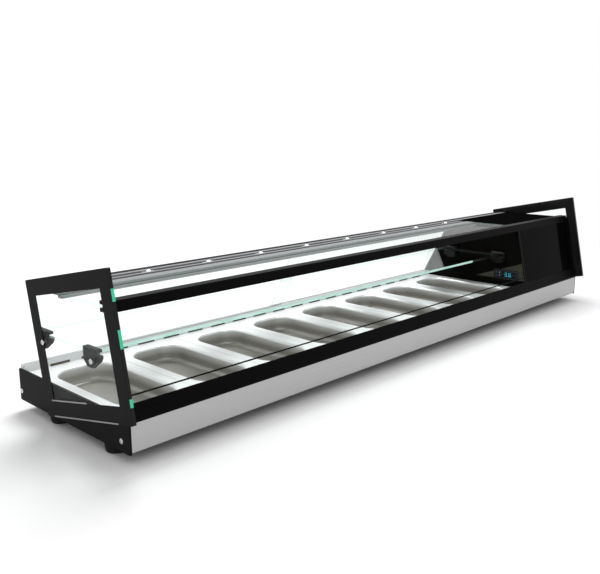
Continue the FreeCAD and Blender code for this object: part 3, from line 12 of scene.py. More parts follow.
import bmesh
import bpy
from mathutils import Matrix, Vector


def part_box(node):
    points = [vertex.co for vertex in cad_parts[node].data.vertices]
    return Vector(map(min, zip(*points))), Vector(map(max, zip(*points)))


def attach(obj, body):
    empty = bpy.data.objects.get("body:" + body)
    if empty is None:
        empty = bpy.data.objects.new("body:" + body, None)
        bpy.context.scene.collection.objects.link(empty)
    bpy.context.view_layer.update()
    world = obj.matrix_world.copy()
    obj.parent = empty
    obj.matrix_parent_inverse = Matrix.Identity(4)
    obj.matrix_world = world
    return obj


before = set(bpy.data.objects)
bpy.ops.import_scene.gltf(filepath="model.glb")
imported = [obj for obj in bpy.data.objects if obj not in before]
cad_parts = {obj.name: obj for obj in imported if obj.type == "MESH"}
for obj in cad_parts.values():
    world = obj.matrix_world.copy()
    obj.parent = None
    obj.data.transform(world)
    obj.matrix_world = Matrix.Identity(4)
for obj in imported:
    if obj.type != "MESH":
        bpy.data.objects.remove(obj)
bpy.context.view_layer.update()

log = logging.getLogger("deli_case")

MM = 0.001
LEAN = math.radians(12.0)
DOOR_LEAN = math.radians(27.5)
PAN_COUNT = 8
WHITE = (1.0, 1.0, 1.0, 1.0)
# Most of a noise pattern's values lie between these two.
PATTERN_LOW = 0.3
PATTERN_HIGH = 0.7
# A colour mix's sockets: its two colours, and the one that comes out.
FIRST = 6
SECOND = 7
MIXED = 2
RELIEF_STRENGTH = 0.4
SMOOTHEST = 0.02
# Sheet glass: how squarely a normal must stand to belong to a face, and how a face reflects.
FACE_SHARE = 0.6
FACE_ROUGHNESS = 0.015
SQUARE_REFLECTION = 0.04
SCHLICK_POWER = 5.0
# Between these two, an edge turns from a side one into one that faces the front.
FRONT_START = 0.4
FRONT_END = 0.6
# Features per metre: the streaks of a cut edge, and the grain of a moulded lens.
EDGE_STREAKS = 22.0
MOULD_GRAIN = 400.0
WIRE_SIDES = 8


class Body(Enum):
    """The moving bodies that pieces ride on."""

    CASE = "case"
    UP_KEY = "up_key"
    DOWN_KEY = "down_key"
    POWER_KEY = "power_key"
    SET_KEY = "set_key"


class Slot(Enum):
    """The record's material slots, by name; no added piece in this script takes its finish from them."""

    BLACK_PLASTIC = "black_plastic"
    ALUMINIUM = "natural_aluminium"
    STEEL = "polished_steel"
    DISPLAY = "display"
    LIGHT = "light"
    RUBBER = "rubber"


class Axis(Enum):
    """The case's own axes, as the outputs of a split vector."""

    ALONG = "X"
    UP = "Z"


# --- colours and nodes -------------------------------------------------------------------------


def colour(code: str) -> tuple[float, float, float, float]:
    """Turn an sRGB hex colour into linear light.

    Args:
        code: six hex digits, with or without a hash sign.

    Returns:
        Red, green, blue and an alpha of one, in linear light.
    """
    digits = code.lstrip("#")
    shares = [int(digits[i : i + 2], 16) / 255 for i in (0, 2, 4)]
    linear = [s / 12.92 if s <= 0.04045 else ((s + 0.055) / 1.055) ** 2.4 for s in shares]
    return (linear[0], linear[1], linear[2], 1.0)


def add_node(
    tree: bpy.types.NodeTree, kind: str, links: dict[Any, Any] | None = None, **settings: Any
) -> bpy.types.Node:
    """Add one node to a tree.

    Args:
        tree: the tree that takes the node.
        kind: the node's type name.
        links: input name or number to an output socket, to a node, which gives its first output,
            or to a plain value.
        settings: properties of the node itself.

    Returns:
        The new node.
    """
    node = tree.nodes.new(kind)
    for name, setting in settings.items():
        setattr(node, name, setting)
    for key, source in (links or {}).items():
        if isinstance(source, bpy.types.Node):
            source = source.outputs[0]
        if isinstance(source, bpy.types.NodeSocket):
            tree.links.new(source, node.inputs[key])
        else:
            node.inputs[key].default_value = source
    return node


def new_material(name: str) -> tuple[bpy.types.Material, bpy.types.NodeTree]:
    """Start a material with an empty tree.

    Args:
        name: the finish's name.

    Returns:
        The material and its tree.
    """
    made = bpy.data.materials.new(name)
    made.use_nodes = True
    made.node_tree.nodes.clear()
    return made, made.node_tree


def grain(tree: bpy.types.NodeTree, stretch: Sequence[float], detail: float = 3.0) -> bpy.types.Node:
    """Add a noise pattern in the piece's own coordinates.

    Args:
        tree: the material's tree.
        stretch: pattern features per metre along X, Y and Z.
        detail: octaves of detail.

    Returns:
        The noise node, whose first output is the pattern.
    """
    place = add_node(tree, "ShaderNodeTexCoord")
    mapped = add_node(tree, "ShaderNodeMapping", {0: place.outputs["Object"], 3: tuple(stretch)})
    return add_node(tree, "ShaderNodeTexNoise", {"Vector": mapped, "Scale": 1.0, "Detail": detail})


# --- finishes ----------------------------------------------------------------------------------


@dataclass(frozen=True)
class SolidFinish:
    """An opaque finish with fine variation in tone, gloss and relief.

    The pattern is a noise that can be stretched, so that one class gives brushed metal, moulded
    plastic, powder coat and drawn metal.  Feature sizes are real ones, in millimetres.  A finish
    with a painted shade tone fades to it below its two painted shade levels, so that it is darker
    towards the bottom: painted shade.
    """

    name: str
    tone: str
    worn_tone: str
    metallic: float
    roughness: float
    roughness_range: float
    feature_mm: tuple[float, float, float]
    relief_mm: float
    coat: float = 0.0
    coat_roughness: float = 0.05
    ior: float = 1.5
    specular: float = 0.5
    painted_shade_tone: str | None = None
    painted_shade_levels_mm: tuple[float, float] = (0.0, 1.0)

    def material(self) -> bpy.types.Material:
        """Build the finish's material.

        Returns:
            The material, with its colour, roughness and relief from one pattern.
        """
        made, tree = new_material(self.name)
        pattern = grain(tree, [1 / (size * MM) for size in self.feature_mm])
        share = add_node(tree, "ShaderNodeMapRange", {0: pattern, 1: PATTERN_LOW, 2: PATTERN_HIGH})
        tones = {0: share, FIRST: colour(self.tone), SECOND: colour(self.worn_tone)}
        shown = add_node(tree, "ShaderNodeMix", tones, data_type="RGBA").outputs[MIXED]
        # Below its painted shade levels the colour fades to a darker tone: painted shade.
        if self.painted_shade_tone is not None:
            shown = self.painted_shade_below(tree, shown)
        smooth = max(SMOOTHEST, self.roughness - self.roughness_range)
        rough = self.roughness + self.roughness_range
        polish = {0: pattern, 1: PATTERN_LOW, 2: PATTERN_HIGH, 3: smooth, 4: rough}
        relief = {"Strength": RELIEF_STRENGTH, "Distance": self.relief_mm * MM, "Height": pattern}
        surface = {
            "Base Color": shown,
            "Metallic": self.metallic,
            "Roughness": add_node(tree, "ShaderNodeMapRange", polish),
            "Normal": add_node(tree, "ShaderNodeBump", relief),
            "Coat Weight": self.coat,
            "Coat Roughness": self.coat_roughness,
            "IOR": self.ior,
            "Specular IOR Level": self.specular,
        }
        shader = add_node(tree, "ShaderNodeBsdfPrincipled", surface)
        add_node(tree, "ShaderNodeOutputMaterial", {"Surface": shader})
        return made

    def painted_shade_below(self, tree: bpy.types.NodeTree, shallow: bpy.types.NodeSocket) -> bpy.types.NodeSocket:
        """Fade the tone to the painted shade tone, downwards between two levels: painted shade.

        Args:
            tree: the material's tree.
            shallow: the tone above the upper level.

        Returns:
            The faded tone's output.
        """
        place = add_node(tree, "ShaderNodeTexCoord")
        level = add_node(tree, "ShaderNodeSeparateXYZ", {0: place.outputs["Object"]}).outputs["Z"]
        low, high = self.painted_shade_levels_mm
        share = add_node(tree, "ShaderNodeMapRange", {0: level, 1: low * MM, 2: high * MM})
        tones = {0: share, FIRST: colour(self.painted_shade_tone), SECOND: shallow}
        return add_node(tree, "ShaderNodeMix", tones, data_type="RGBA").outputs[MIXED]


@dataclass(frozen=True)
class SheetGlassFinish:
    """Float glass in sheet form: clear faces, and cut edges that show the glass's own green.

    Iron in the melt tints the long way through the sheet, so an edge looks mint green while a
    face stays almost clear.  Faces and edges are told apart by the sheet's own normal.  Each edge
    also shines a little in its own tone: painted light, for the light that the sheet carries to its
    edges.  The front edge is polished and bright with more of its tone and painted glow, and the
    others are ground and clearer: through_tint colours what shows through them.  Edges may be
    painted black, with bare bands left along one axis; on the shelf the dark colour is a painted
    reflection of the black wall beside it.  rear_bare leaves the edges that face the back bare too.
    gloss scales the face's reflection, and gloss_floor is taken off it.
    """

    name: str
    face_normal: tuple[float, float, float]
    face_tint: str = "#FEFFFF"
    edge_tone: str = "#CDEBE2"
    edge_deep: str = "#AFDCCD"
    painted_edge_glow: float = 0.2
    edge_clear: float = 0.88
    through_tint: str = "#F0F9F6"
    front_clear: float = 0.15
    haze: float = 0.0
    gloss: float = 1.0
    gloss_floor: float = 0.0
    edge_paint_and_reflection: str | None = None
    bare_axis: Axis = Axis.UP
    bare_mm: tuple[tuple[float, float], ...] = ()
    rear_bare: bool = False

    def material(self) -> bpy.types.Material:
        """Build the glass's material.

        Returns:
            The material, with thin clear faces and translucent green edges.
        """
        made, tree = new_material(self.name)
        normal = add_node(tree, "ShaderNodeNewGeometry").outputs["True Normal"]
        facing = add_node(
            tree, "ShaderNodeVectorMath", {0: normal, 1: self.face_normal}, operation="DOT_PRODUCT"
        ).outputs["Value"]
        squared = add_node(tree, "ShaderNodeMath", {0: facing, 1: 2.0}, operation="POWER")
        is_face = add_node(tree, "ShaderNodeMath", {0: squared, 1: FACE_SHARE}, operation="GREATER_THAN")
        ends = {0: is_face, 1: self.edge(tree), 2: self.face(tree)}
        sheet = add_node(tree, "ShaderNodeMixShader", ends)
        add_node(tree, "ShaderNodeOutputMaterial", {"Surface": sheet})
        return made

    def face(self, tree: bpy.types.NodeTree) -> bpy.types.Node:
        """Build the clear face.

        Args:
            tree: the material's tree.

        Returns:
            The face's shader.
        """
        clear = add_node(tree, "ShaderNodeBsdfTransparent", {"Color": colour(self.face_tint)})
        sheen = add_node(tree, "ShaderNodeBsdfGlossy", {"Color": WHITE, "Roughness": FACE_ROUGHNESS})
        # Schlick's law from the facing angle: unlike Fresnel, it is the same from inside the sheet.
        away = add_node(tree, "ShaderNodeLayerWeight", {"Blend": 0.5}).outputs["Facing"]
        steep = add_node(tree, "ShaderNodeMath", {0: away, 1: SCHLICK_POWER}, operation="POWER")
        # The floor leaves out a reflection too faint to show, which would only speckle what is behind.
        least = SQUARE_REFLECTION * self.gloss - self.gloss_floor
        terms = {0: steep, 1: (1 - SQUARE_REFLECTION) * self.gloss, 2: least}
        share = add_node(tree, "ShaderNodeMath", terms, operation="MULTIPLY_ADD", use_clamp=True)
        body = add_node(tree, "ShaderNodeMixShader", {0: share, 1: clear, 2: sheen})
        if self.haze > 0:
            film = add_node(tree, "ShaderNodeBsdfDiffuse", {"Color": colour("#F4F8F6")})
            body = add_node(tree, "ShaderNodeMixShader", {0: self.haze, 1: body, 2: film})
        return body

    def edge(self, tree: bpy.types.NodeTree) -> bpy.types.Node:
        """Build the cut edge.

        Args:
            tree: the material's tree.

        Returns:
            The edge's shader.
        """
        streaks = grain(tree, (EDGE_STREAKS,) * 3, 2.0)
        share = add_node(tree, "ShaderNodeMapRange", {0: streaks, 1: PATTERN_LOW, 2: PATTERN_HIGH})
        tones = {0: share, FIRST: colour(self.edge_tone), SECOND: colour(self.edge_deep)}
        shown = add_node(tree, "ShaderNodeMix", tones, data_type="RGBA").outputs[MIXED]
        shape = add_node(tree, "ShaderNodeNewGeometry")
        ahead = {0: shape.outputs["True Normal"], 1: (0.0, -1.0, 0.0)}
        facing = add_node(tree, "ShaderNodeVectorMath", ahead, operation="DOT_PRODUCT").outputs["Value"]
        # Seen from inside the sheet, the normal is turned round, so it is turned back.
        turn = {0: shape.outputs["Backfacing"], 1: -2.0, 2: 1.0}
        turned = add_node(tree, "ShaderNodeMath", turn, operation="MULTIPLY_ADD")
        to_front = add_node(tree, "ShaderNodeMath", {0: facing, 1: turned}, operation="MULTIPLY")
        fronts = {0: to_front, 1: FRONT_START, 2: FRONT_END, 3: self.edge_clear, 4: self.front_clear}
        clear_share = add_node(tree, "ShaderNodeMapRange", fronts)
        # The dark colour outside the bare bands is black paint on the front and end glass, and on the shelf
        # a painted reflection of the black wall.
        if self.edge_paint_and_reflection is not None:
            bare = self.bare(tree)
            if self.rear_bare:
                backs = {0: to_front, 1: -FRONT_END, 2: -FRONT_START, 3: 1.0, 4: 0.0}
                behind = add_node(tree, "ShaderNodeMapRange", backs)
                bare = add_node(tree, "ShaderNodeMath", {0: bare, 1: behind}, operation="MAXIMUM")
            tones = {0: bare, FIRST: colour(self.edge_paint_and_reflection), SECOND: shown}
            shown = add_node(tree, "ShaderNodeMix", tones, data_type="RGBA").outputs[MIXED]
            clear_share = add_node(tree, "ShaderNodeMath", {0: bare, 1: clear_share}, operation="MULTIPLY")
        # The edge's emission is painted light: a glow in its own tone for the light that the sheet carries
        # to its edges.
        surface = {
            "Base Color": shown,
            "Roughness": 0.3,
            "Specular IOR Level": 0.2,
            "Emission Color": shown,
            "Emission Strength": self.painted_edge_glow,
        }
        cut = add_node(tree, "ShaderNodeBsdfPrincipled", surface)
        through = add_node(tree, "ShaderNodeBsdfTransparent", {"Color": colour(self.through_tint)})
        return add_node(tree, "ShaderNodeMixShader", {0: clear_share, 1: cut, 2: through})

    def bare(self, tree: bpy.types.NodeTree) -> bpy.types.Node | float:
        """Tell the bare bands of the edge from the painted rest, by their place along an axis.

        Args:
            tree: the material's tree.

        Returns:
            The node that gives one in a bare band and nought elsewhere, or nought without bands.
        """
        place = add_node(tree, "ShaderNodeTexCoord")
        split = add_node(tree, "ShaderNodeSeparateXYZ", {0: place.outputs["Object"]})
        found = 0.0
        for low, high in self.bare_mm:
            along = split.outputs[self.bare_axis.value]
            band = {0: along, 1: (low + high) / 2 * MM, 2: (high - low) / 2 * MM}
            inside = add_node(tree, "ShaderNodeMath", band, operation="COMPARE")
            found = add_node(tree, "ShaderNodeMath", {0: found, 1: inside}, operation="MAXIMUM")
        return found


@dataclass(frozen=True)
class GlowFinish:
    """A lit surface: a diode's lens or a display's segment."""

    name: str
    tone: str
    strength: float

    def material(self) -> bpy.types.Material:
        """Build the lit material.

        Returns:
            The material, which shines by itself and keeps a moulded gloss.
        """
        made, tree = new_material(self.name)
        pattern = grain(tree, (MOULD_GRAIN,) * 3, 1.0)
        polish = {0: pattern, 1: PATTERN_LOW, 2: PATTERN_HIGH, 3: 0.2, 4: 0.35}
        surface = {
            "Base Color": colour(self.tone),
            "Roughness": add_node(tree, "ShaderNodeMapRange", polish),
            "Emission Color": colour(self.tone),
            "Emission Strength": self.strength,
        }
        shader = add_node(tree, "ShaderNodeBsdfPrincipled", surface)
        add_node(tree, "ShaderNodeOutputMaterial", {"Surface": shader})
        return made


Finish = SolidFinish | SheetGlassFinish | GlowFinish

LEANING = (0.0, -math.cos(LEAN), math.sin(LEAN))
LEANING_DOOR = (0.0, math.cos(DOOR_LEAN), math.sin(DOOR_LEAN))

# Each finish gives its name, tone, worn tone, metallic, roughness, its range, feature sizes and relief.

# Stainless steel, brushed along the case: fine lines a few tenths of a millimetre apart, which are
# drawn coarser to show.
BRUSHED_STEEL = SolidFinish(
    "brushed_stainless_steel", "#B3B3B3", "#AEAEAE", 0.55, 0.44, 0.03, (600.0, 1.6, 1.2), 0.003
)
# Deep-drawn stainless steel with a polished rim: bright and near white as painted light, fading lower in
# the pan to a warm grey as painted shade, with a faint satin grain left by the press.
DRAWN_STEEL = SolidFinish(
    "drawn_stainless_steel", "#FFFFFF", "#FAFAF9", 0.4, 0.3, 0.02, (12.0, 60.0, 12.0), 0.0005,
    painted_shade_tone="#A39F99", painted_shade_levels_mm=(64.0, 82.0),
)
# The tray's steel: its underside is painted near black as painted shade, which keeps the shadow below the
# case deep.
TRAY_STEEL = SolidFinish(
    "tray_steel_painted_shade_underside", "#B3B3B3", "#AEAEAE", 0.55, 0.44, 0.03, (600.0, 1.6, 1.2), 0.003,
    painted_shade_tone="#080808", painted_shade_levels_mm=(25.0, 27.0),
)
# Stainless sheet of the well: painted brighter than the case's steel as painted light, so that the cold
# deck reads almost white.
LINER_STEEL = SolidFinish(
    "well_stainless_steel", "#FFFFFF", "#F8F9F9", 0.3, 0.34, 0.04, (90.0, 3.0, 3.0), 0.001
)
# Polyester powder coat on steel: satin, with the slight orange peel of a baked coat.
POWDER_COAT = SolidFinish(
    "satin_powder_coat", "#131313", "#171717", 0.0, 0.42, 0.05, (2.2, 2.2, 2.2), 0.05, specular=0.03
)
# The same coat on the lid, painted darker as painted shade: matt and almost black, so that it takes no
# light from above.
LID_COAT_PAINTED_SHADE = SolidFinish(
    "lid_coat_painted_shade", "#070707", "#0A0A0A", 0.0, 0.5, 0.05, (2.2, 2.2, 2.2), 0.05, specular=0.0
)
# The coat of the inner wall: finer and duller, a warm black beside the bright pans.
WALL_COAT = SolidFinish(
    "inner_powder_coat", "#0C0B09", "#0F0E0C", 0.0, 0.6, 0.03, (6.0, 6.0, 6.0), 0.001, specular=0.02
)
# Ceramic frit printed on glass: flat, dense black under a glass-like skin.
FRIT = SolidFinish(
    "fired_black_frit", "#1C1C1C", "#202020", 0.0, 0.5, 0.04, (1.4, 1.4, 1.4), 0.005, specular=0.03
)
# The darker frit band up the front glass, which lies deeper in the glass's skin.
BAND_FRIT = SolidFinish(
    "fired_band_frit", "#0B0B0B", "#0E0E0E", 0.0, 0.3, 0.03, (3.0, 3.0, 3.0), 0.002, specular=0.02
)
# Back-painted toughened glass: very dark, mirror-smooth skin.
BLACK_GLASS = SolidFinish(
    "back_painted_glass", "#060606", "#080808", 0.0, 0.08, 0.02, (60.0, 60.0, 60.0), 0.004, specular=0.01
)
# An aluminium extrusion, anodised natural: satin grey, with die lines along the profile.
ANODISED = SolidFinish(
    "natural_anodised_aluminium", "#7E8082", "#6E7072", 0.2, 0.42, 0.06, (240.0, 2.0, 2.0), 0.02
)
# The lower rear track: anodised aluminium lifted almost to white as painted light, so that it reads almost
# white above the pans.
ANODISED_PAINTED_LIGHT = SolidFinish(
    "anodised_aluminium_painted_light", "#EEF0F0", "#E4E6E6", 0.0, 0.42, 0.06, (240.0, 2.0, 2.0), 0.02
)
# The dark inside of the track, seen through its slots.
SLOT_SHADE = SolidFinish(
    "shaded_track_chamber", "#4A3D2A", "#3B301F", 0.0, 0.7, 0.05, (6.0, 2.0, 2.0), 0.01, specular=0.02
)
# Black anodised bars: a dull, even black, with the same die lines.
BLACK_ANODISED = SolidFinish(
    "black_anodised_aluminium", "#080808", "#0C0C0D", 0.0, 0.4, 0.06, (240.0, 2.0, 2.0), 0.02, specular=0.02
)
# Glass-filled nylon, spark-eroded tool texture.
NYLON = SolidFinish(
    "black_moulded_nylon", "#151515", "#1D1D1E", 0.0, 0.48, 0.08, (0.9, 0.9, 0.9), 0.03, specular=0.15
)
# Polished ABS for the thermostat's bezel.
BEZEL = SolidFinish(
    "gloss_moulded_abs", "#1E2126", "#26292F", 0.0, 0.18, 0.03, (4.0, 4.0, 4.0),
    0.01, ior=1.52, specular=0.3
)
# The control panel: polycarbonate printed in a warm dark grey, without shine.
PANEL_GREY = SolidFinish(
    "printed_polycarbonate", "#3B3A35", "#444239", 0.0, 0.45, 0.05, (1.2, 1.2, 1.2),
    0.02, ior=1.58, specular=0.15
)
# Moulded rubber feet: matt black that greys a little where it wears.
RUBBER = SolidFinish(
    "moulded_rubber", "#0F0F0F", "#171717", 0.0, 0.72, 0.08, (1.5, 1.5, 1.5), 0.06, ior=1.52, specular=0.2
)
# Drawn copper tube with a first bloom of tarnish.
COPPER = SolidFinish("drawn_copper_tube", "#C07A55", "#8A4E35", 1.0, 0.32, 0.12, (14.0, 14.0, 14.0), 0.01)
# Enamel on the compressor and the motor: black, with the soft gloss of a sprayed coat.
MACHINE_PAINT = SolidFinish(
    "compressor_enamel", "#101112", "#1B1C1D", 0.0, 0.3, 0.08, (5.0, 5.0, 5.0), 0.05, coat=0.2
)
# Bare aluminium fins: bright, with the streaks of thin sheet set close together.
BARE_FINS = SolidFinish(
    "bare_aluminium_fins", "#B9BCBE", "#96999B", 0.95, 0.38, 0.1, (3.0, 3.0, 30.0), 0.02
)
# Cut polyurethane foam: pale yellow and rough.
FOAM = SolidFinish(
    "polyurethane_foam", "#E0D3A2", "#CDBE88", 0.0, 0.85, 0.08, (1.0, 1.0, 1.0), 0.3, ior=1.45
)
# Turned stainless steel: small bright glints on each head.
SCREW_STEEL = SolidFinish(
    "turned_stainless_steel", "#D2D4D6", "#B8BBBE", 1.0, 0.24, 0.06, (0.6, 0.6, 0.6), 0.01
)
# Trim tape of dulled aluminium foil.
TRIM_FOIL = SolidFinish(
    "satin_aluminium_trim", "#9C9C9C", "#868686", 0.6, 0.42, 0.06, (60.0, 60.0, 1.0), 0.01
)
# The rocker: clear green plastic under a gloss skin.
SWITCH_GREEN = SolidFinish(
    "translucent_green_rocker", "#1F7A35", "#2A8F43", 0.0, 0.22, 0.04, (3.0, 3.0, 3.0),
    0.01, coat=0.3, ior=1.52
)
# A bead of silicone: black, smooth and a little wet to look at.
SEALANT = SolidFinish(
    "black_silicone", "#0A0A0A", "#0F0F0F", 0.0, 0.45, 0.08, (4.0, 4.0, 4.0), 0.04, ior=1.41, specular=0.03
)
# Screen print on the keys: thin, flat and off-white.
PRINT_WHITE = SolidFinish("white_key_print", "#C9CDD0", "#BFC4C7", 0.0, 0.5, 0.05, (0.8, 0.8, 0.8), 0.005)
# The display window: smoked polycarbonate, smooth and nearly black behind its digits.
DISPLAY_GLASS = SolidFinish(
    "tinted_display_window", "#05090B", "#070D10", 0.0, 0.06, 0.02, (30.0, 30.0, 30.0),
    0.002, ior=1.58, specular=0.2
)
# Frosted polycarbonate over each light module: milky grey until its diode shines through.
FROSTED_LENS = SolidFinish(
    "frosted_polycarbonate", "#A9ABAD", "#9B9D9F", 0.0, 0.5, 0.05, (1.0, 1.0, 1.0),
    0.02, ior=1.58, specular=0.3
)

# The front glass: its cut edges are painted black, and its reflection is weak.
FRONT_GLASS = SheetGlassFinish(
    "front_float_glass", LEANING, gloss=0.3, gloss_floor=0.03, edge_paint_and_reflection="#080808"
)
# The top glass: clear, with a trace of film that greys what lies below.
TOP_GLASS = SheetGlassFinish(
    "top_float_glass", (0.0, 0.0, 1.0), haze=0.02, gloss=0.25, face_tint="#FAFDFC"
)
# The shelf: mint green edges with a painted glow; the front one is painted dark over its last stretch, a
# painted reflection of the black wall beside it.
SHELF_GLASS = SheetGlassFinish(
    "shelf_float_glass",
    (0.0, 0.0, 1.0),
    painted_edge_glow=0.35,
    gloss=0.3,
    face_tint="#FCFEFD",
    edge_paint_and_reflection="#101311",
    bare_axis=Axis.ALONG,
    bare_mm=((-880.0, 394.0),),
    rear_bare=True,
)
# The left end pane: its edge glows green, a painted glow, between black bands, and tints what is behind.
LEFT_END_GLASS = SheetGlassFinish(
    "left_end_float_glass",
    (1.0, 0.0, 0.0),
    edge_tone="#4FC79E",
    edge_deep="#35AA80",
    edge_clear=0.2,
    front_clear=0.1,
    through_tint="#35AA80",
    gloss=0.3,
    edge_paint_and_reflection="#080808",
    bare_mm=((287.0, 308.0), (210.0, 241.0), (114.0, 128.0)),
)
# The right end pane: its edges are painted black all round.
RIGHT_END_GLASS = SheetGlassFinish(
    "right_end_float_glass", (1.0, 0.0, 0.0), gloss=0.2, edge_paint_and_reflection="#060606"
)
# Cast acrylic doors: clear, with sawn edges of a warm milky grey and a faint painted glow.
DOOR_ACRYLIC = SheetGlassFinish(
    "clear_cast_acrylic",
    LEANING_DOOR,
    edge_tone="#C9BEB4",
    edge_deep="#D9D2CB",
    painted_edge_glow=0.05,
    gloss=0.4,
)
# The lens of a lit diode: white and bright enough to clip.
LED_LENS = GlowFinish("lit_diode_lens", "#FFFFFF", 2.5)
# A lit segment of the display: a calm cyan.
CYAN_SEGMENT = GlowFinish("cyan_display_segment", "#2BA3B6", 0.8)


class Palette:
    """Makes each finish's material once."""

    def __init__(self) -> None:
        """Start with no materials made."""
        self._made: dict[str, bpy.types.Material] = {}

    def of(self, finish: Finish) -> bpy.types.Material:
        """Return the material of a finish, and make it the first time."""
        if finish.name not in self._made:
            self._made[finish.name] = finish.material()
        return self._made[finish.name]


PALETTE = Palette()


# --- mesh helpers ------------------------------------------------------------------------------


@dataclass(frozen=True)
class Span:
    """A node's box at rest, from its low to its high corner."""

    low: Vector
    high: Vector

    @classmethod
    def of(cls, node: str) -> "Span":
        """Return the box of a CAD node."""
        low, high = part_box(node)
        return cls(Vector(low), Vector(high))

    @property
    def centre(self) -> Vector:
        """Return the middle of the box."""
        return (self.low + self.high) / 2

    @property
    def size(self) -> Vector:
        """Return the box's three sizes."""
        return self.high - self.low


@dataclass(frozen=True)
class LeaningFace:
    """The outer face of a sheet that leans back, from the foot of the face up."""

    right: float
    foot: Vector
    rise: float

    @classmethod
    def of(cls, node: str) -> "LeaningFace":
        """Work out the outer face of a leaning CAD sheet from its box.

        Args:
            node: the sheet's node.

        Returns:
            The face.
        """
        span = Span.of(node)
        cosine, sine = math.cos(LEAN), math.sin(LEAN)
        rise = (span.size.z * cosine - span.size.y * sine) / (cosine * cosine - sine * sine)
        foot = Vector((0, span.low.y, span.high.z - rise * cosine))
        return cls(span.high.x, foot, rise)

    def strip(self, start: float, end: float, proud: float) -> bmesh.types.BMesh:
        """Make a strip that runs up the face.

        Args:
            start: where the strip starts along the case.
            end: where it ends along the case.
            proud: how far it stands in front of the face.

        Returns:
            The strip as a bmesh.
        """
        out = Vector(LEANING)
        ways = ((start, proud), (end, proud), (end, 0.0), (start, 0.0))
        corners = [Vector((along, 0, 0)) + self.foot + out * reach for along, reach in ways]
        shape = bmesh.new()
        add_prism(shape, corners, Vector((0, math.sin(LEAN), math.cos(LEAN))) * self.rise)
        return shape


def put(name: str, content: bpy.types.ID) -> bpy.types.Object:
    """Put a mesh, a lamp or a camera into the scene as an object."""
    made = bpy.data.objects.new(name, content)
    bpy.context.scene.collection.objects.link(made)
    return made


def dress(nodes: str | Iterable[str], finish: Finish) -> None:
    """Give CAD nodes a finish.

    Args:
        nodes: one node's name, or several.
        finish: the finish that they take.
    """
    material = PALETTE.of(finish)
    for name in [nodes] if isinstance(nodes, str) else nodes:
        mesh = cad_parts[name].data
        mesh.materials.clear()
        mesh.materials.append(material)


def finish_piece(
    name: str, shape: bmesh.types.BMesh | bpy.types.Mesh, body: Body, finish: Finish
) -> None:
    """Turn a shape into a piece that rides on a body.

    Args:
        name: the piece's name.
        shape: its bmesh, which is freed, or its mesh, in the case's own place.
        body: the body that carries it.
        finish: its finish.
    """
    mesh = mesh_of(name, shape) if isinstance(shape, bmesh.types.BMesh) else shape
    mesh.materials.clear()
    mesh.materials.append(PALETTE.of(finish))
    for polygon in mesh.polygons:
        polygon.material_index = 0
    piece = put(name, mesh)
    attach(piece, body.value)
    log.info("%s: %d faces on %s", name, len(mesh.polygons), body.value)


def mesh_of(name: str, shape: bmesh.types.BMesh) -> bpy.types.Mesh:
    """Close a bmesh into a mesh with outward faces.

    Args:
        name: the mesh's name.
        shape: the bmesh, which is freed.

    Returns:
        The mesh.
    """
    bmesh.ops.recalc_face_normals(shape, faces=shape.faces)
    mesh = bpy.data.meshes.new(name)
    shape.to_mesh(mesh)
    shape.free()
    return mesh


def join_loops(shape: bmesh.types.BMesh, near: Sequence[Any], far: Sequence[Any]) -> None:
    """Join two closed loops of vertices with a band of faces."""
    for i in range(len(near)):
        following = (i + 1) % len(near)
        shape.faces.new((near[i], near[following], far[following], far[i]))


def add_prism(shape: bmesh.types.BMesh, outline: Sequence[Vector], depth: Vector) -> None:
    """Add a closed prism to a bmesh.

    Args:
        shape: the bmesh.
        outline: the corners of one end, in order.
        depth: the way from that end to the other.
    """
    near = [shape.verts.new(corner) for corner in outline]
    far = [shape.verts.new(corner + depth) for corner in outline]
    shape.faces.new(near[::-1])
    shape.faces.new(far)
    join_loops(shape, near, far)


def add_block(shape: bmesh.types.BMesh, low: Vector, high: Vector) -> None:
    """Add a closed box to a bmesh, from its low to its high corner."""
    corners = ((low.x, low.y), (high.x, low.y), (high.x, high.y), (low.x, high.y))
    add_prism(shape, [Vector((x, y, low.z)) for x, y in corners], Vector((0, 0, high.z - low.z)))


def add_rod(
    shape: bmesh.types.BMesh, start: Vector, end: Vector, radius: float, sides: int = 12
) -> None:
    """Add a closed round rod to a bmesh.

    Args:
        shape: the bmesh.
        start: the middle of one end.
        end: the middle of the other end.
        radius: the rod's radius.
        sides: how many sides stand in for the circle.
    """
    along = end - start
    turn = along.to_track_quat("Z", "Y").to_matrix()
    outline = []
    for i in range(sides):
        angle = 2 * math.pi * i / sides
        outline.append(start + turn @ Vector((radius * math.cos(angle), radius * math.sin(angle), 0)))
    add_prism(shape, outline, along)


def add_ring(
    shape: bmesh.types.BMesh, centre: Vector, axis: Vector, radius: float, wire: float, turns: int = 40
) -> None:
    """Add a closed round ring of wire to a bmesh.

    Args:
        shape: the bmesh.
        centre: the ring's centre.
        axis: the ring's axis.
        radius: the radius of the wire's centre line.
        wire: the wire's radius.
        turns: how many steps stand in for the ring.
    """
    turn = axis.to_track_quat("Z", "Y").to_matrix()
    loops = []
    for i in range(turns):
        angle = 2 * math.pi * i / turns
        out = Vector((math.cos(angle), math.sin(angle), 0))
        loop = []
        for j in range(WIRE_SIDES):
            around = 2 * math.pi * j / WIRE_SIDES
            local = out * (radius + wire * math.cos(around)) + Vector((0, 0, wire * math.sin(around)))
            loop.append(shape.verts.new(centre + turn @ local))
        loops.append(loop)
    for here, there in zip(loops, loops[1:] + loops[:1]):
        join_loops(shape, here, there)


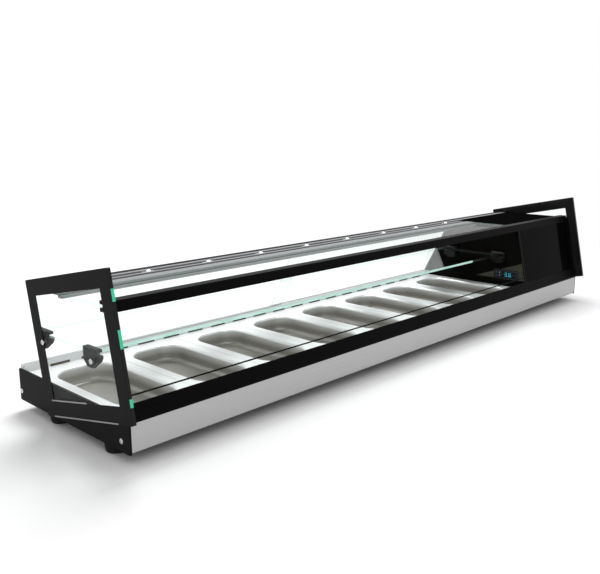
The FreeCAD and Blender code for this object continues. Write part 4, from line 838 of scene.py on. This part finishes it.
@dataclass(frozen=True)
class Dome:
    """A low round dome on the origin, such as a rivet's head or a lens.

    Each pair of the profile is a ring's share of the radius and of the height, from the foot up.
    """

    radius: float
    high: float
    profile: tuple[tuple[float, float], ...]
    across: Vector
    up: Vector
    sides: int

    def mesh(self, name: str) -> bpy.types.Mesh:
        """Build the dome's closed mesh.

        Args:
            name: the mesh's name.

        Returns:
            The mesh.
        """
        shape = bmesh.new()
        loops = []
        for share, rise in self.profile:
            loop = []
            for i in range(self.sides):
                angle = 2 * math.pi * i / self.sides
                out = Vector((1, 0, 0)) * math.cos(angle) + self.across * math.sin(angle)
                loop.append(shape.verts.new(out * self.radius * share + self.up * self.high * rise))
            loops.append(loop)
        for lower, upper in zip(loops, loops[1:]):
            join_loops(shape, lower, upper)
        shape.faces.new(loops[0][::-1])
        shape.faces.new(loops[-1])
        return mesh_of(name, shape)


@dataclass(frozen=True)
class Row:
    """A row of equal copies, made by Geometry Nodes and turned into one mesh."""

    count: int
    start: Vector
    step: Vector

    def mesh(self, name: str, unit: bpy.types.Mesh, finish: Finish) -> bpy.types.Mesh:
        """Repeat a mesh along the row.

        Args:
            name: the new mesh's name.
            unit: the mesh to repeat, made about the origin.
            finish: the finish that the copies take.

        Returns:
            One mesh that holds every copy.
        """
        holder = put(name + "_unit", unit)
        tree = bpy.data.node_groups.new(name + "_row", "GeometryNodeTree")
        tree.interface.new_socket("Geometry", in_out="INPUT", socket_type="NodeSocketGeometry")
        sizes = {
            "Copies": ("NodeSocketInt", self.count),
            "Start": ("NodeSocketVector", tuple(self.start)),
            "Step": ("NodeSocketVector", tuple(self.step)),
        }
        settings = {}
        for label, (kind, size) in sizes.items():
            socket = tree.interface.new_socket(label, in_out="INPUT", socket_type=kind)
            settings[socket.identifier] = size
        tree.interface.new_socket("Geometry", in_out="OUTPUT", socket_type="NodeSocketGeometry")
        inputs = add_node(tree, "NodeGroupInput").outputs
        steps = {"Count": inputs["Copies"], "Start Location": inputs["Start"], "Offset": inputs["Step"]}
        line = add_node(tree, "GeometryNodeMeshLine", steps, mode="OFFSET")
        places = {"Points": line, "Instance": inputs["Geometry"]}
        copies = add_node(tree, "GeometryNodeInstanceOnPoints", places)
        real = add_node(tree, "GeometryNodeRealizeInstances", {"Geometry": copies})
        paint = {"Geometry": real, "Material": PALETTE.of(finish)}
        painted = add_node(tree, "GeometryNodeSetMaterial", paint)
        add_node(tree, "NodeGroupOutput", {"Geometry": painted})
        modifier = holder.modifiers.new("row", "NODES")
        modifier.node_group = tree
        for identifier, size in settings.items():
            modifier[identifier] = size
        evaluated = holder.evaluated_get(bpy.context.evaluated_depsgraph_get())
        mesh = bpy.data.meshes.new_from_object(evaluated)
        mesh.name = name
        bpy.data.objects.remove(holder)
        return mesh


# --- sub-assemblies ----------------------------------------------------------------------------


@dataclass
class Base:
    """The base: tray, end plates, fascia, sill, well and feet."""

    rivet_radius: float = 2.4 * MM
    rivet_high: float = 1.1 * MM
    rivet_pitch: float = 120 * MM
    rivet_margin: float = 60 * MM
    rivet_drop: float = 8 * MM
    foot_radius: float = 20 * MM
    bead_wire: float = 0.9 * MM
    bead_levels: tuple[float, float] = (10 * MM, 16 * MM)

    def build(self) -> None:
        """Dress the base and add its rivets and the beads of its feet."""
        dress("front_fascia", BRUSHED_STEEL)
        dress("base_tray", TRAY_STEEL)
        dress("well_liner", LINER_STEEL)
        dress(["left_base_plate", "right_base_plate"], POWDER_COAT)
        dress("front_sill", BLACK_ANODISED)
        dress("foam_insulation", FOAM)
        dress("drain_spigot", NYLON)
        dress("rubber_feet", RUBBER)
        dress("steel_screws", SCREW_STEEL)
        self.rivets()
        self.foot_beads()

    def rivets(self) -> None:
        """Set a row of blind rivets along the tray's back."""
        tray = Span.of("base_tray")
        profile = ((1.0, 0.0), (0.82, 0.6), (0.4, 1.0))
        out, back = Vector((0, 0, 1)), Vector((0, 1, 0))
        head = Dome(self.rivet_radius, self.rivet_high, profile, out, back, 16)
        run = tray.size.x - 2 * self.rivet_margin
        count = int(run / self.rivet_pitch) + 1
        start = Vector((tray.low.x + self.rivet_margin, tray.high.y, tray.high.z - self.rivet_drop))
        row = Row(count, start, Vector((run / (count - 1), 0, 0)))
        mesh = row.mesh("tray_rivets", head.mesh("rivet"), SCREW_STEEL)
        finish_piece("tray_rivets", mesh, Body.CASE, SCREW_STEEL)

    def foot_beads(self) -> None:
        """Put two moulded beads round each foot."""
        feet = Span.of("rubber_feet")
        radius = self.foot_radius
        shape = bmesh.new()
        for x in (feet.low.x + radius, feet.high.x - radius):
            for y in (feet.low.y + radius, feet.high.y - radius):
                for level in self.bead_levels:
                    add_ring(shape, Vector((x, y, level)), Vector((0, 0, 1)), radius, self.bead_wire)
        finish_piece("foot_beads", shape, Body.CASE, RUBBER)


@dataclass
class Pans:
    """The eight food pans."""

    def build(self) -> None:
        """Dress the pans in drawn steel."""
        dress([f"pan_{number}" for number in range(1, PAN_COUNT + 1)], DRAWN_STEEL)


@dataclass
class Glazing:
    """The end panes, the front, top and shelf glass, and the beads of sealant between them."""

    bead: float = 1.2 * MM
    bead_sides: int = 10
    band: float = 9 * MM
    band_proud: float = 0.15 * MM

    def build(self) -> None:
        """Dress the glass and lay its sealant."""
        dress("front_glass", FRONT_GLASS)
        dress("top_glass", TOP_GLASS)
        dress("shelf_glass", SHELF_GLASS)
        dress("left_end_glass", LEFT_END_GLASS)
        dress("right_end_glass", RIGHT_END_GLASS)
        dress(["left_glass_border", "right_glass_border"], FRIT)
        dress("end_trim_strips", TRIM_FOIL)
        dress("front_glass_seal", SEALANT)
        dress("shelf_clamps", NYLON)
        self.sealant()
        self.frit_band()

    def frit_band(self) -> None:
        """Print a black band up the front glass, where it meets the housing."""
        face = LeaningFace.of("front_glass")
        shape = face.strip(face.right - self.band, face.right, self.band_proud)
        finish_piece("front_glass_band", shape, Body.CASE, BAND_FRIT)

    def sealant(self) -> None:
        """Lay a bead of silicone behind the front bar and along the rail's front."""
        top = Span.of("top_glass")
        shape = bmesh.new()
        for y in (top.low.y + self.bead, top.high.y - self.bead):
            start = Vector((top.low.x, y, top.low.z))
            add_rod(shape, start, Vector((top.high.x, y, top.low.z)), self.bead, self.bead_sides)
        finish_piece("glass_sealant", shape, Body.CASE, SEALANT)


@dataclass
class Profiles:
    """The front bar, the light rail with its diodes, and the rear tracks with their air slots."""

    modules: int = 9
    module_length: float = 30 * MM
    diode: float = 4.5 * MM
    diode_high: float = 1.2 * MM
    diode_sides: int = 20
    slots: int = 19
    slot_pitch: float = 71 * MM
    slot_long: float = 44 * MM
    slot_high: float = 6.5 * MM
    slot_deep: float = 0.6 * MM
    slot_proud: float = 0.15 * MM
    slot_level: float = 3.6 * MM

    def build(self) -> None:
        """Dress the profiles, set the diodes and mark the air slots."""
        dress("top_front_bar", BLACK_ANODISED)
        dress("rear_top_track", BLACK_ANODISED)
        dress("rear_bottom_track", ANODISED_PAINTED_LIGHT)
        dress("light_rail", ANODISED)
        dress("light_modules", FROSTED_LENS)
        self.diodes()
        self.air_slots()

    def air_slots(self) -> None:
        """Mark the row of air slots along the inner face of the lower rear track."""
        track = Span.of("rear_bottom_track")
        half = Vector((self.slot_long, self.slot_deep, self.slot_high)) / 2
        shape = bmesh.new()
        add_block(shape, -half, half)
        run = self.slot_pitch * (self.slots - 1)
        level = track.low.z + self.slot_level
        start = Vector((track.centre.x - run / 2, track.low.y + half.y - self.slot_proud, level))
        row = Row(self.slots, start, Vector((self.slot_pitch, 0, 0)))
        mesh = row.mesh("air_slots", mesh_of("air_slot", shape), SLOT_SHADE)
        finish_piece("air_slots", mesh, Body.CASE, SLOT_SHADE)

    def diodes(self) -> None:
        """Set a lit diode in the middle of each light module."""
        modules = Span.of("light_modules")
        profile = ((1.0, 0.0), (0.8, 0.7), (0.4, 1.0))
        across, up = Vector((0, 1, 0)), Vector((0, 0, 1))
        lens = Dome(self.diode, self.diode_high, profile, across, up, self.diode_sides)
        run = modules.size.x - self.module_length
        start = Vector((modules.low.x + self.module_length / 2, modules.centre.y, modules.high.z))
        row = Row(self.modules, start, Vector((run / (self.modules - 1), 0, 0)))
        mesh = row.mesh("light_diodes", lens.mesh("diode"), LED_LENS)
        finish_piece("light_diodes", mesh, Body.CASE, LED_LENS)


@dataclass
class RearDoors:
    """The two sliding doors and their grips."""

    def build(self) -> None:
        """Dress the doors and their grips."""
        doors = ("left_rear_door", "right_rear_door", "left_door_grip", "right_door_grip")
        dress(doors, DOOR_ACRYLIC)


@dataclass
class Housing:
    """The machine housing and what is in it."""

    guard_wire: float = 1.1 * MM
    guard_inset: float = 6 * MM
    guard_rings: int = 5
    guard_spokes: int = 4
    spoke_sides: int = 8
    seal_thick: float = 2.4 * MM
    seal_lap: float = 1 * MM
    gasket_lap: float = 1.5 * MM
    gasket_proud: float = 9 * MM

    def build(self) -> None:
        """Dress the housing and the machine, and add the fan's wire guard and the seals."""
        dress("housing_wall", WALL_COAT)
        dress("housing_front_panel", BLACK_GLASS)
        dress("housing_lid", LID_COAT_PAINTED_SHADE)
        dress(["housing_right_panel", "rear_grille"], POWDER_COAT)
        dress("compressor", MACHINE_PAINT)
        dress(["refrigerant_pipes", "evaporator_coil"], COPPER)
        dress("condenser", BARE_FINS)
        dress(["fan_frame", "power_inlet", "light_switch_frame"], NYLON)
        dress("fan_motor", MACHINE_PAINT)
        dress("fan_blade", ANODISED)
        dress("light_switch_rocker", SWITCH_GREEN)
        self.fan_guard()
        self.end_gasket()
        self.grille_seals()

    def grille_seals(self) -> None:
        """Lay foam seals above and below the rear grille."""
        grille = Span.of("rear_grille")
        track = Span.of("rear_top_track")
        tray = Span.of("base_tray")
        thick = self.seal_thick
        lap = self.seal_lap
        shape = bmesh.new()
        top_low = Vector((grille.low.x, grille.low.y - thick / 2, grille.high.z - lap))
        add_block(shape, top_low, Vector((grille.high.x, grille.low.y + thick / 2, track.low.z)))
        foot_low = Vector((grille.low.x, tray.high.y - 2 * thick, tray.high.z))
        add_block(shape, foot_low, Vector((grille.high.x, tray.high.y - thick, grille.low.z + lap)))
        finish_piece("grille_seals", shape, Body.CASE, RUBBER)

    def end_gasket(self) -> None:
        """Close the gap between the front panel and the right end pane."""
        face = LeaningFace.of("housing_front_panel")
        pane = Span.of("right_end_glass")
        shape = face.strip(face.right - self.gasket_lap, pane.low.x, self.gasket_proud)
        finish_piece("end_gasket", shape, Body.CASE, SEALANT)

    def fan_guard(self) -> None:
        """Set rings of wire in front of the fan's mouth."""
        ring_frame = Span.of("fan_frame")
        blade = Span.of("fan_blade")
        centre = Vector((ring_frame.high.x - self.guard_wire, blade.centre.y, blade.centre.z))
        outer = ring_frame.size.y / 2 - self.guard_inset
        shape = bmesh.new()
        for number in range(1, self.guard_rings + 1):
            radius = outer * number / self.guard_rings
            add_ring(shape, centre, Vector((1, 0, 0)), radius, self.guard_wire)
        for number in range(self.guard_spokes):
            angle = math.pi * (number + 0.5) / self.guard_spokes
            reach = Vector((0, math.cos(angle), math.sin(angle))) * outer
            add_rod(shape, centre - reach, centre + reach, self.guard_wire, self.spoke_sides)
        finish_piece("fan_guard", shape, Body.CASE, SCREW_STEEL)


class Segment(Enum):
    """The seven strokes of a display digit, as (left, bottom, right, top) shares of its cell."""

    TOP = (0.14, 0.91, 0.86, 1.0)
    UPPER_LEFT = (0.0, 0.54, 0.16, 0.96)
    UPPER_RIGHT = (0.84, 0.54, 1.0, 0.96)
    MIDDLE = (0.12, 0.45, 0.88, 0.55)
    LOWER_LEFT = (0.0, 0.04, 0.16, 0.46)
    LOWER_RIGHT = (0.84, 0.04, 1.0, 0.46)
    BOTTOM = (0.12, 0.0, 0.88, 0.1)


DIGITS = {
    3: (Segment.TOP, Segment.UPPER_RIGHT, Segment.MIDDLE, Segment.LOWER_RIGHT, Segment.BOTTOM),
    6: (
        Segment.TOP, Segment.UPPER_LEFT, Segment.MIDDLE,
        Segment.LOWER_LEFT, Segment.LOWER_RIGHT, Segment.BOTTOM,
    ),
}


@dataclass
class Thermostat:
    """The thermostat: its panel, case, display, digits and keys."""

    digit_high: float = 12 * MM
    digit_wide: float = 8 * MM
    digit_gap: float = 6 * MM
    digit_shift: float = 4 * MM
    dot: float = 1.4 * MM
    proud: float = 0.12 * MM
    reading: tuple[int, ...] = (3, 6)
    arrow_half: float = 1.8 * MM
    arrow_foot: float = 0.7
    arrow_tip: float = 0.9
    power_radius: float = 1.7 * MM
    power_wire: float = 1.2
    power_turns: int = 28
    stroke_half: float = 0.15 * MM
    stroke_low: float = 0.6 * MM
    stroke_high: float = 2.4 * MM
    dot_radius: float = 1.1 * MM
    dot_sides: int = 20

    def build(self) -> None:
        """Dress the thermostat, and draw its digits and its keys' symbols."""
        dress("control_panel_plate", PANEL_GREY)
        dress("thermostat_case", BEZEL)
        dress("thermostat_display", DISPLAY_GLASS)
        dress(["up_key", "down_key", "power_key", "set_key"], NYLON)
        self.digits()
        self.arrows()
        self.power_mark()
        self.set_mark()

    def digits(self) -> None:
        """Light two digits and a decimal point on the display."""
        window = Span.of("thermostat_display")
        shape = bmesh.new()
        total = len(self.reading) * self.digit_wide + (len(self.reading) - 1) * self.digit_gap
        # The display faces the pans, so its left is towards the rear.
        left = window.centre.y + total / 2 + self.digit_shift
        bottom = window.centre.z - self.digit_high / 2
        face = window.low.x
        for place, digit in enumerate(self.reading):
            start = left - place * (self.digit_wide + self.digit_gap)
            for segment in DIGITS[digit]:
                near, low, far, high = segment.value
                foot, head = bottom + low * self.digit_high, bottom + high * self.digit_high
                corner = Vector((face - self.proud, start - far * self.digit_wide, foot))
                add_block(shape, corner, Vector((face, start - near * self.digit_wide, head)))
        middle = left - self.digit_wide - self.digit_gap / 2
        add_block(
            shape,
            Vector((face - self.proud, middle - self.dot / 2, bottom)),
            Vector((face, middle + self.dot / 2, bottom + self.dot)),
        )
        finish_piece("display_digits", shape, Body.CASE, CYAN_SEGMENT)

    def arrows(self) -> None:
        """Print an arrow on the up key and the down key."""
        half = self.arrow_half
        for body, way in ((Body.UP_KEY, 1), (Body.DOWN_KEY, -1)):
            centre = self.key_face(body, self.proud)
            outline = [
                centre + Vector((0, -half, -half * way * self.arrow_foot)),
                centre + Vector((0, half, -half * way * self.arrow_foot)),
                centre + Vector((0, 0, half * way * self.arrow_tip)),
            ]
            shape = bmesh.new()
            add_prism(shape, outline, Vector((self.proud, 0, 0)))
            finish_piece(body.value + "_mark", shape, body, PRINT_WHITE)

    def power_mark(self) -> None:
        """Print a ring with a stroke through its top on the power key."""
        centre = self.key_face(Body.POWER_KEY, self.proud / 2)
        shape = bmesh.new()
        wire = self.proud * self.power_wire
        add_ring(shape, centre, Vector((1, 0, 0)), self.power_radius, wire, self.power_turns)
        add_block(
            shape,
            centre + Vector((-self.proud, -self.stroke_half, self.stroke_low)),
            centre + Vector((self.proud / 2, self.stroke_half, self.stroke_high)),
        )
        finish_piece("power_key_mark", shape, Body.POWER_KEY, PRINT_WHITE)

    def set_mark(self) -> None:
        """Print a dot on the set key."""
        centre = self.key_face(Body.SET_KEY, self.proud / 2)
        half = Vector((self.proud / 2, 0, 0))
        shape = bmesh.new()
        add_rod(shape, centre - half, centre + half, self.dot_radius, self.dot_sides)
        finish_piece("set_key_mark", shape, Body.SET_KEY, PRINT_WHITE)

    def key_face(self, body: Body, ahead: float) -> Vector:
        """Return the place in front of the middle of a key's face, at a given distance."""
        key = Span.of(body.value)
        return Vector((key.low.x - ahead, key.centre.y, key.centre.z))


# --- studio ------------------------------------------------------------------------------------


@dataclass
class Studio:
    """The floor, the white surroundings, the lamps and the camera."""

    lens_mm: float = 44.17
    sensor_mm: float = 36.0
    azimuth: float = 46.37
    pitch: float = 12.03
    station: tuple[float, float, float] = (-1.5125, -1.1858, 0.5591)
    floor_half: float = 14.0
    floor_drop: float = 0.2 * MM
    world_level: float = 0.6
    white_near: float = 0.0
    white_start: float = 0.98
    white_end: float = 2.4

    def build(self) -> None:
        """Build the studio round the case."""
        bpy.context.scene.view_settings.view_transform = "Standard"
        self.floor()
        self.world()
        self.lamps()
        self.camera()

    def white_to_camera(
        self, tree: bpy.types.NodeTree, plain: bpy.types.Node, kind: str, share: Any = 1.0
    ) -> bpy.types.Node:
        """Show plain white wherever the camera, a reflection or a clear sheet looks.

        Args:
            tree: the tree of the floor or the world.
            plain: the shader that lights the object.
            kind: the node that gives white.
            share: how much of the white shows, as a number or a node.

        Returns:
            The mixed shader.
        """
        ray = add_node(tree, "ShaderNodeLightPath").outputs
        seen = ray["Is Camera Ray"]
        for other in ("Is Glossy Ray", "Is Transmission Ray"):
            seen = add_node(tree, "ShaderNodeMath", {0: seen, 1: ray[other]}, operation="MAXIMUM")
        white = add_node(tree, kind, {"Color": WHITE, "Strength": 1.0})
        shown = add_node(tree, "ShaderNodeMath", {0: seen, 1: share}, operation="MULTIPLY")
        return add_node(tree, "ShaderNodeMixShader", {0: shown, 1: plain, 2: white})

    def floor(self) -> None:
        """Lay a pale floor that keeps the case's shadow."""
        half = self.floor_half
        mesh = bpy.data.meshes.new("floor")
        level = -self.floor_drop
        corners = [(-half, -half, level), (half, -half, level), (half, half, level), (-half, half, level)]
        mesh.from_pydata(corners, [], [(0, 1, 2, 3)])
        made, tree = new_material("pale_floor")
        pattern = grain(tree, (3.0, 3.0, 3.0), 2.0)
        polish = {0: pattern, 1: PATTERN_LOW, 2: PATTERN_HIGH, 3: 0.75, 4: 0.8}
        surface = {
            "Base Color": colour("#F6F6F6"),
            "Roughness": add_node(tree, "ShaderNodeMapRange", polish),
            "Specular IOR Level": 0.1,
        }
        shader = add_node(tree, "ShaderNodeBsdfPrincipled", surface)
        place = add_node(tree, "ShaderNodeTexCoord").outputs["Object"]
        away = add_node(tree, "ShaderNodeVectorMath", {0: place}, operation="LENGTH").outputs["Value"]
        fade = {0: away, 1: self.white_start, 2: self.white_end, 3: self.white_near, 4: 1.0}
        share = add_node(tree, "ShaderNodeMapRange", fade)
        mixed = self.white_to_camera(tree, shader, "ShaderNodeEmission", share)
        add_node(tree, "ShaderNodeOutputMaterial", {"Surface": mixed})
        mesh.materials.append(made)
        plane = put("floor", mesh)

    def world(self) -> None:
        """Make the surroundings white to look at and soft to light with."""
        world = bpy.data.worlds.new("white_studio")
        world.use_nodes = True
        bpy.context.scene.world = world
        tree = world.node_tree
        tree.nodes.clear()
        soft = add_node(tree, "ShaderNodeBackground", {"Color": WHITE, "Strength": self.world_level})
        mixed = self.white_to_camera(tree, soft, "ShaderNodeBackground")
        add_node(tree, "ShaderNodeOutputWorld", {"Surface": mixed})

    def lamps(self) -> None:
        """Hang two broad soft lamps over the case."""
        for name, place, size, power in (
            ("key_softbox", Vector((0.55, 1.0, 2.8)), 1.5, 74.0),
            ("fill_softbox", Vector((-1.4, -2.4, 2.2)), 2.6, 21.0),
        ):
            lamp = bpy.data.lights.new(name, "AREA")
            lamp.shape = "SQUARE"
            lamp.size = size
            lamp.energy = power
            holder = put(name, lamp)
            holder.location = place
            holder.rotation_euler = (-place).to_track_quat("-Z", "Y").to_euler()

    def camera(self) -> None:
        """Stand the camera to the front left of the case."""
        lens = bpy.data.cameras.new("studio_camera")
        lens.lens = self.lens_mm
        lens.sensor_width = self.sensor_mm
        lens.clip_start = 0.05
        lens.clip_end = 60.0
        holder = put("studio_camera", lens)
        holder.location = self.station
        holder.rotation_euler = (math.radians(90 - self.pitch), 0, -math.radians(self.azimuth))
        bpy.context.scene.camera = holder


def main() -> None:
    """Dress the case from the base up, then build the studio."""
    logging.basicConfig(level=logging.INFO, format="%(name)s: %(message)s")
    for assembly in (Base(), Pans(), Glazing(), Profiles(), RearDoors(), Housing(), Thermostat(), Studio()):
        assembly.build()
        log.info("%s done", type(assembly).__name__)


if __name__ == "__main__":
    main()
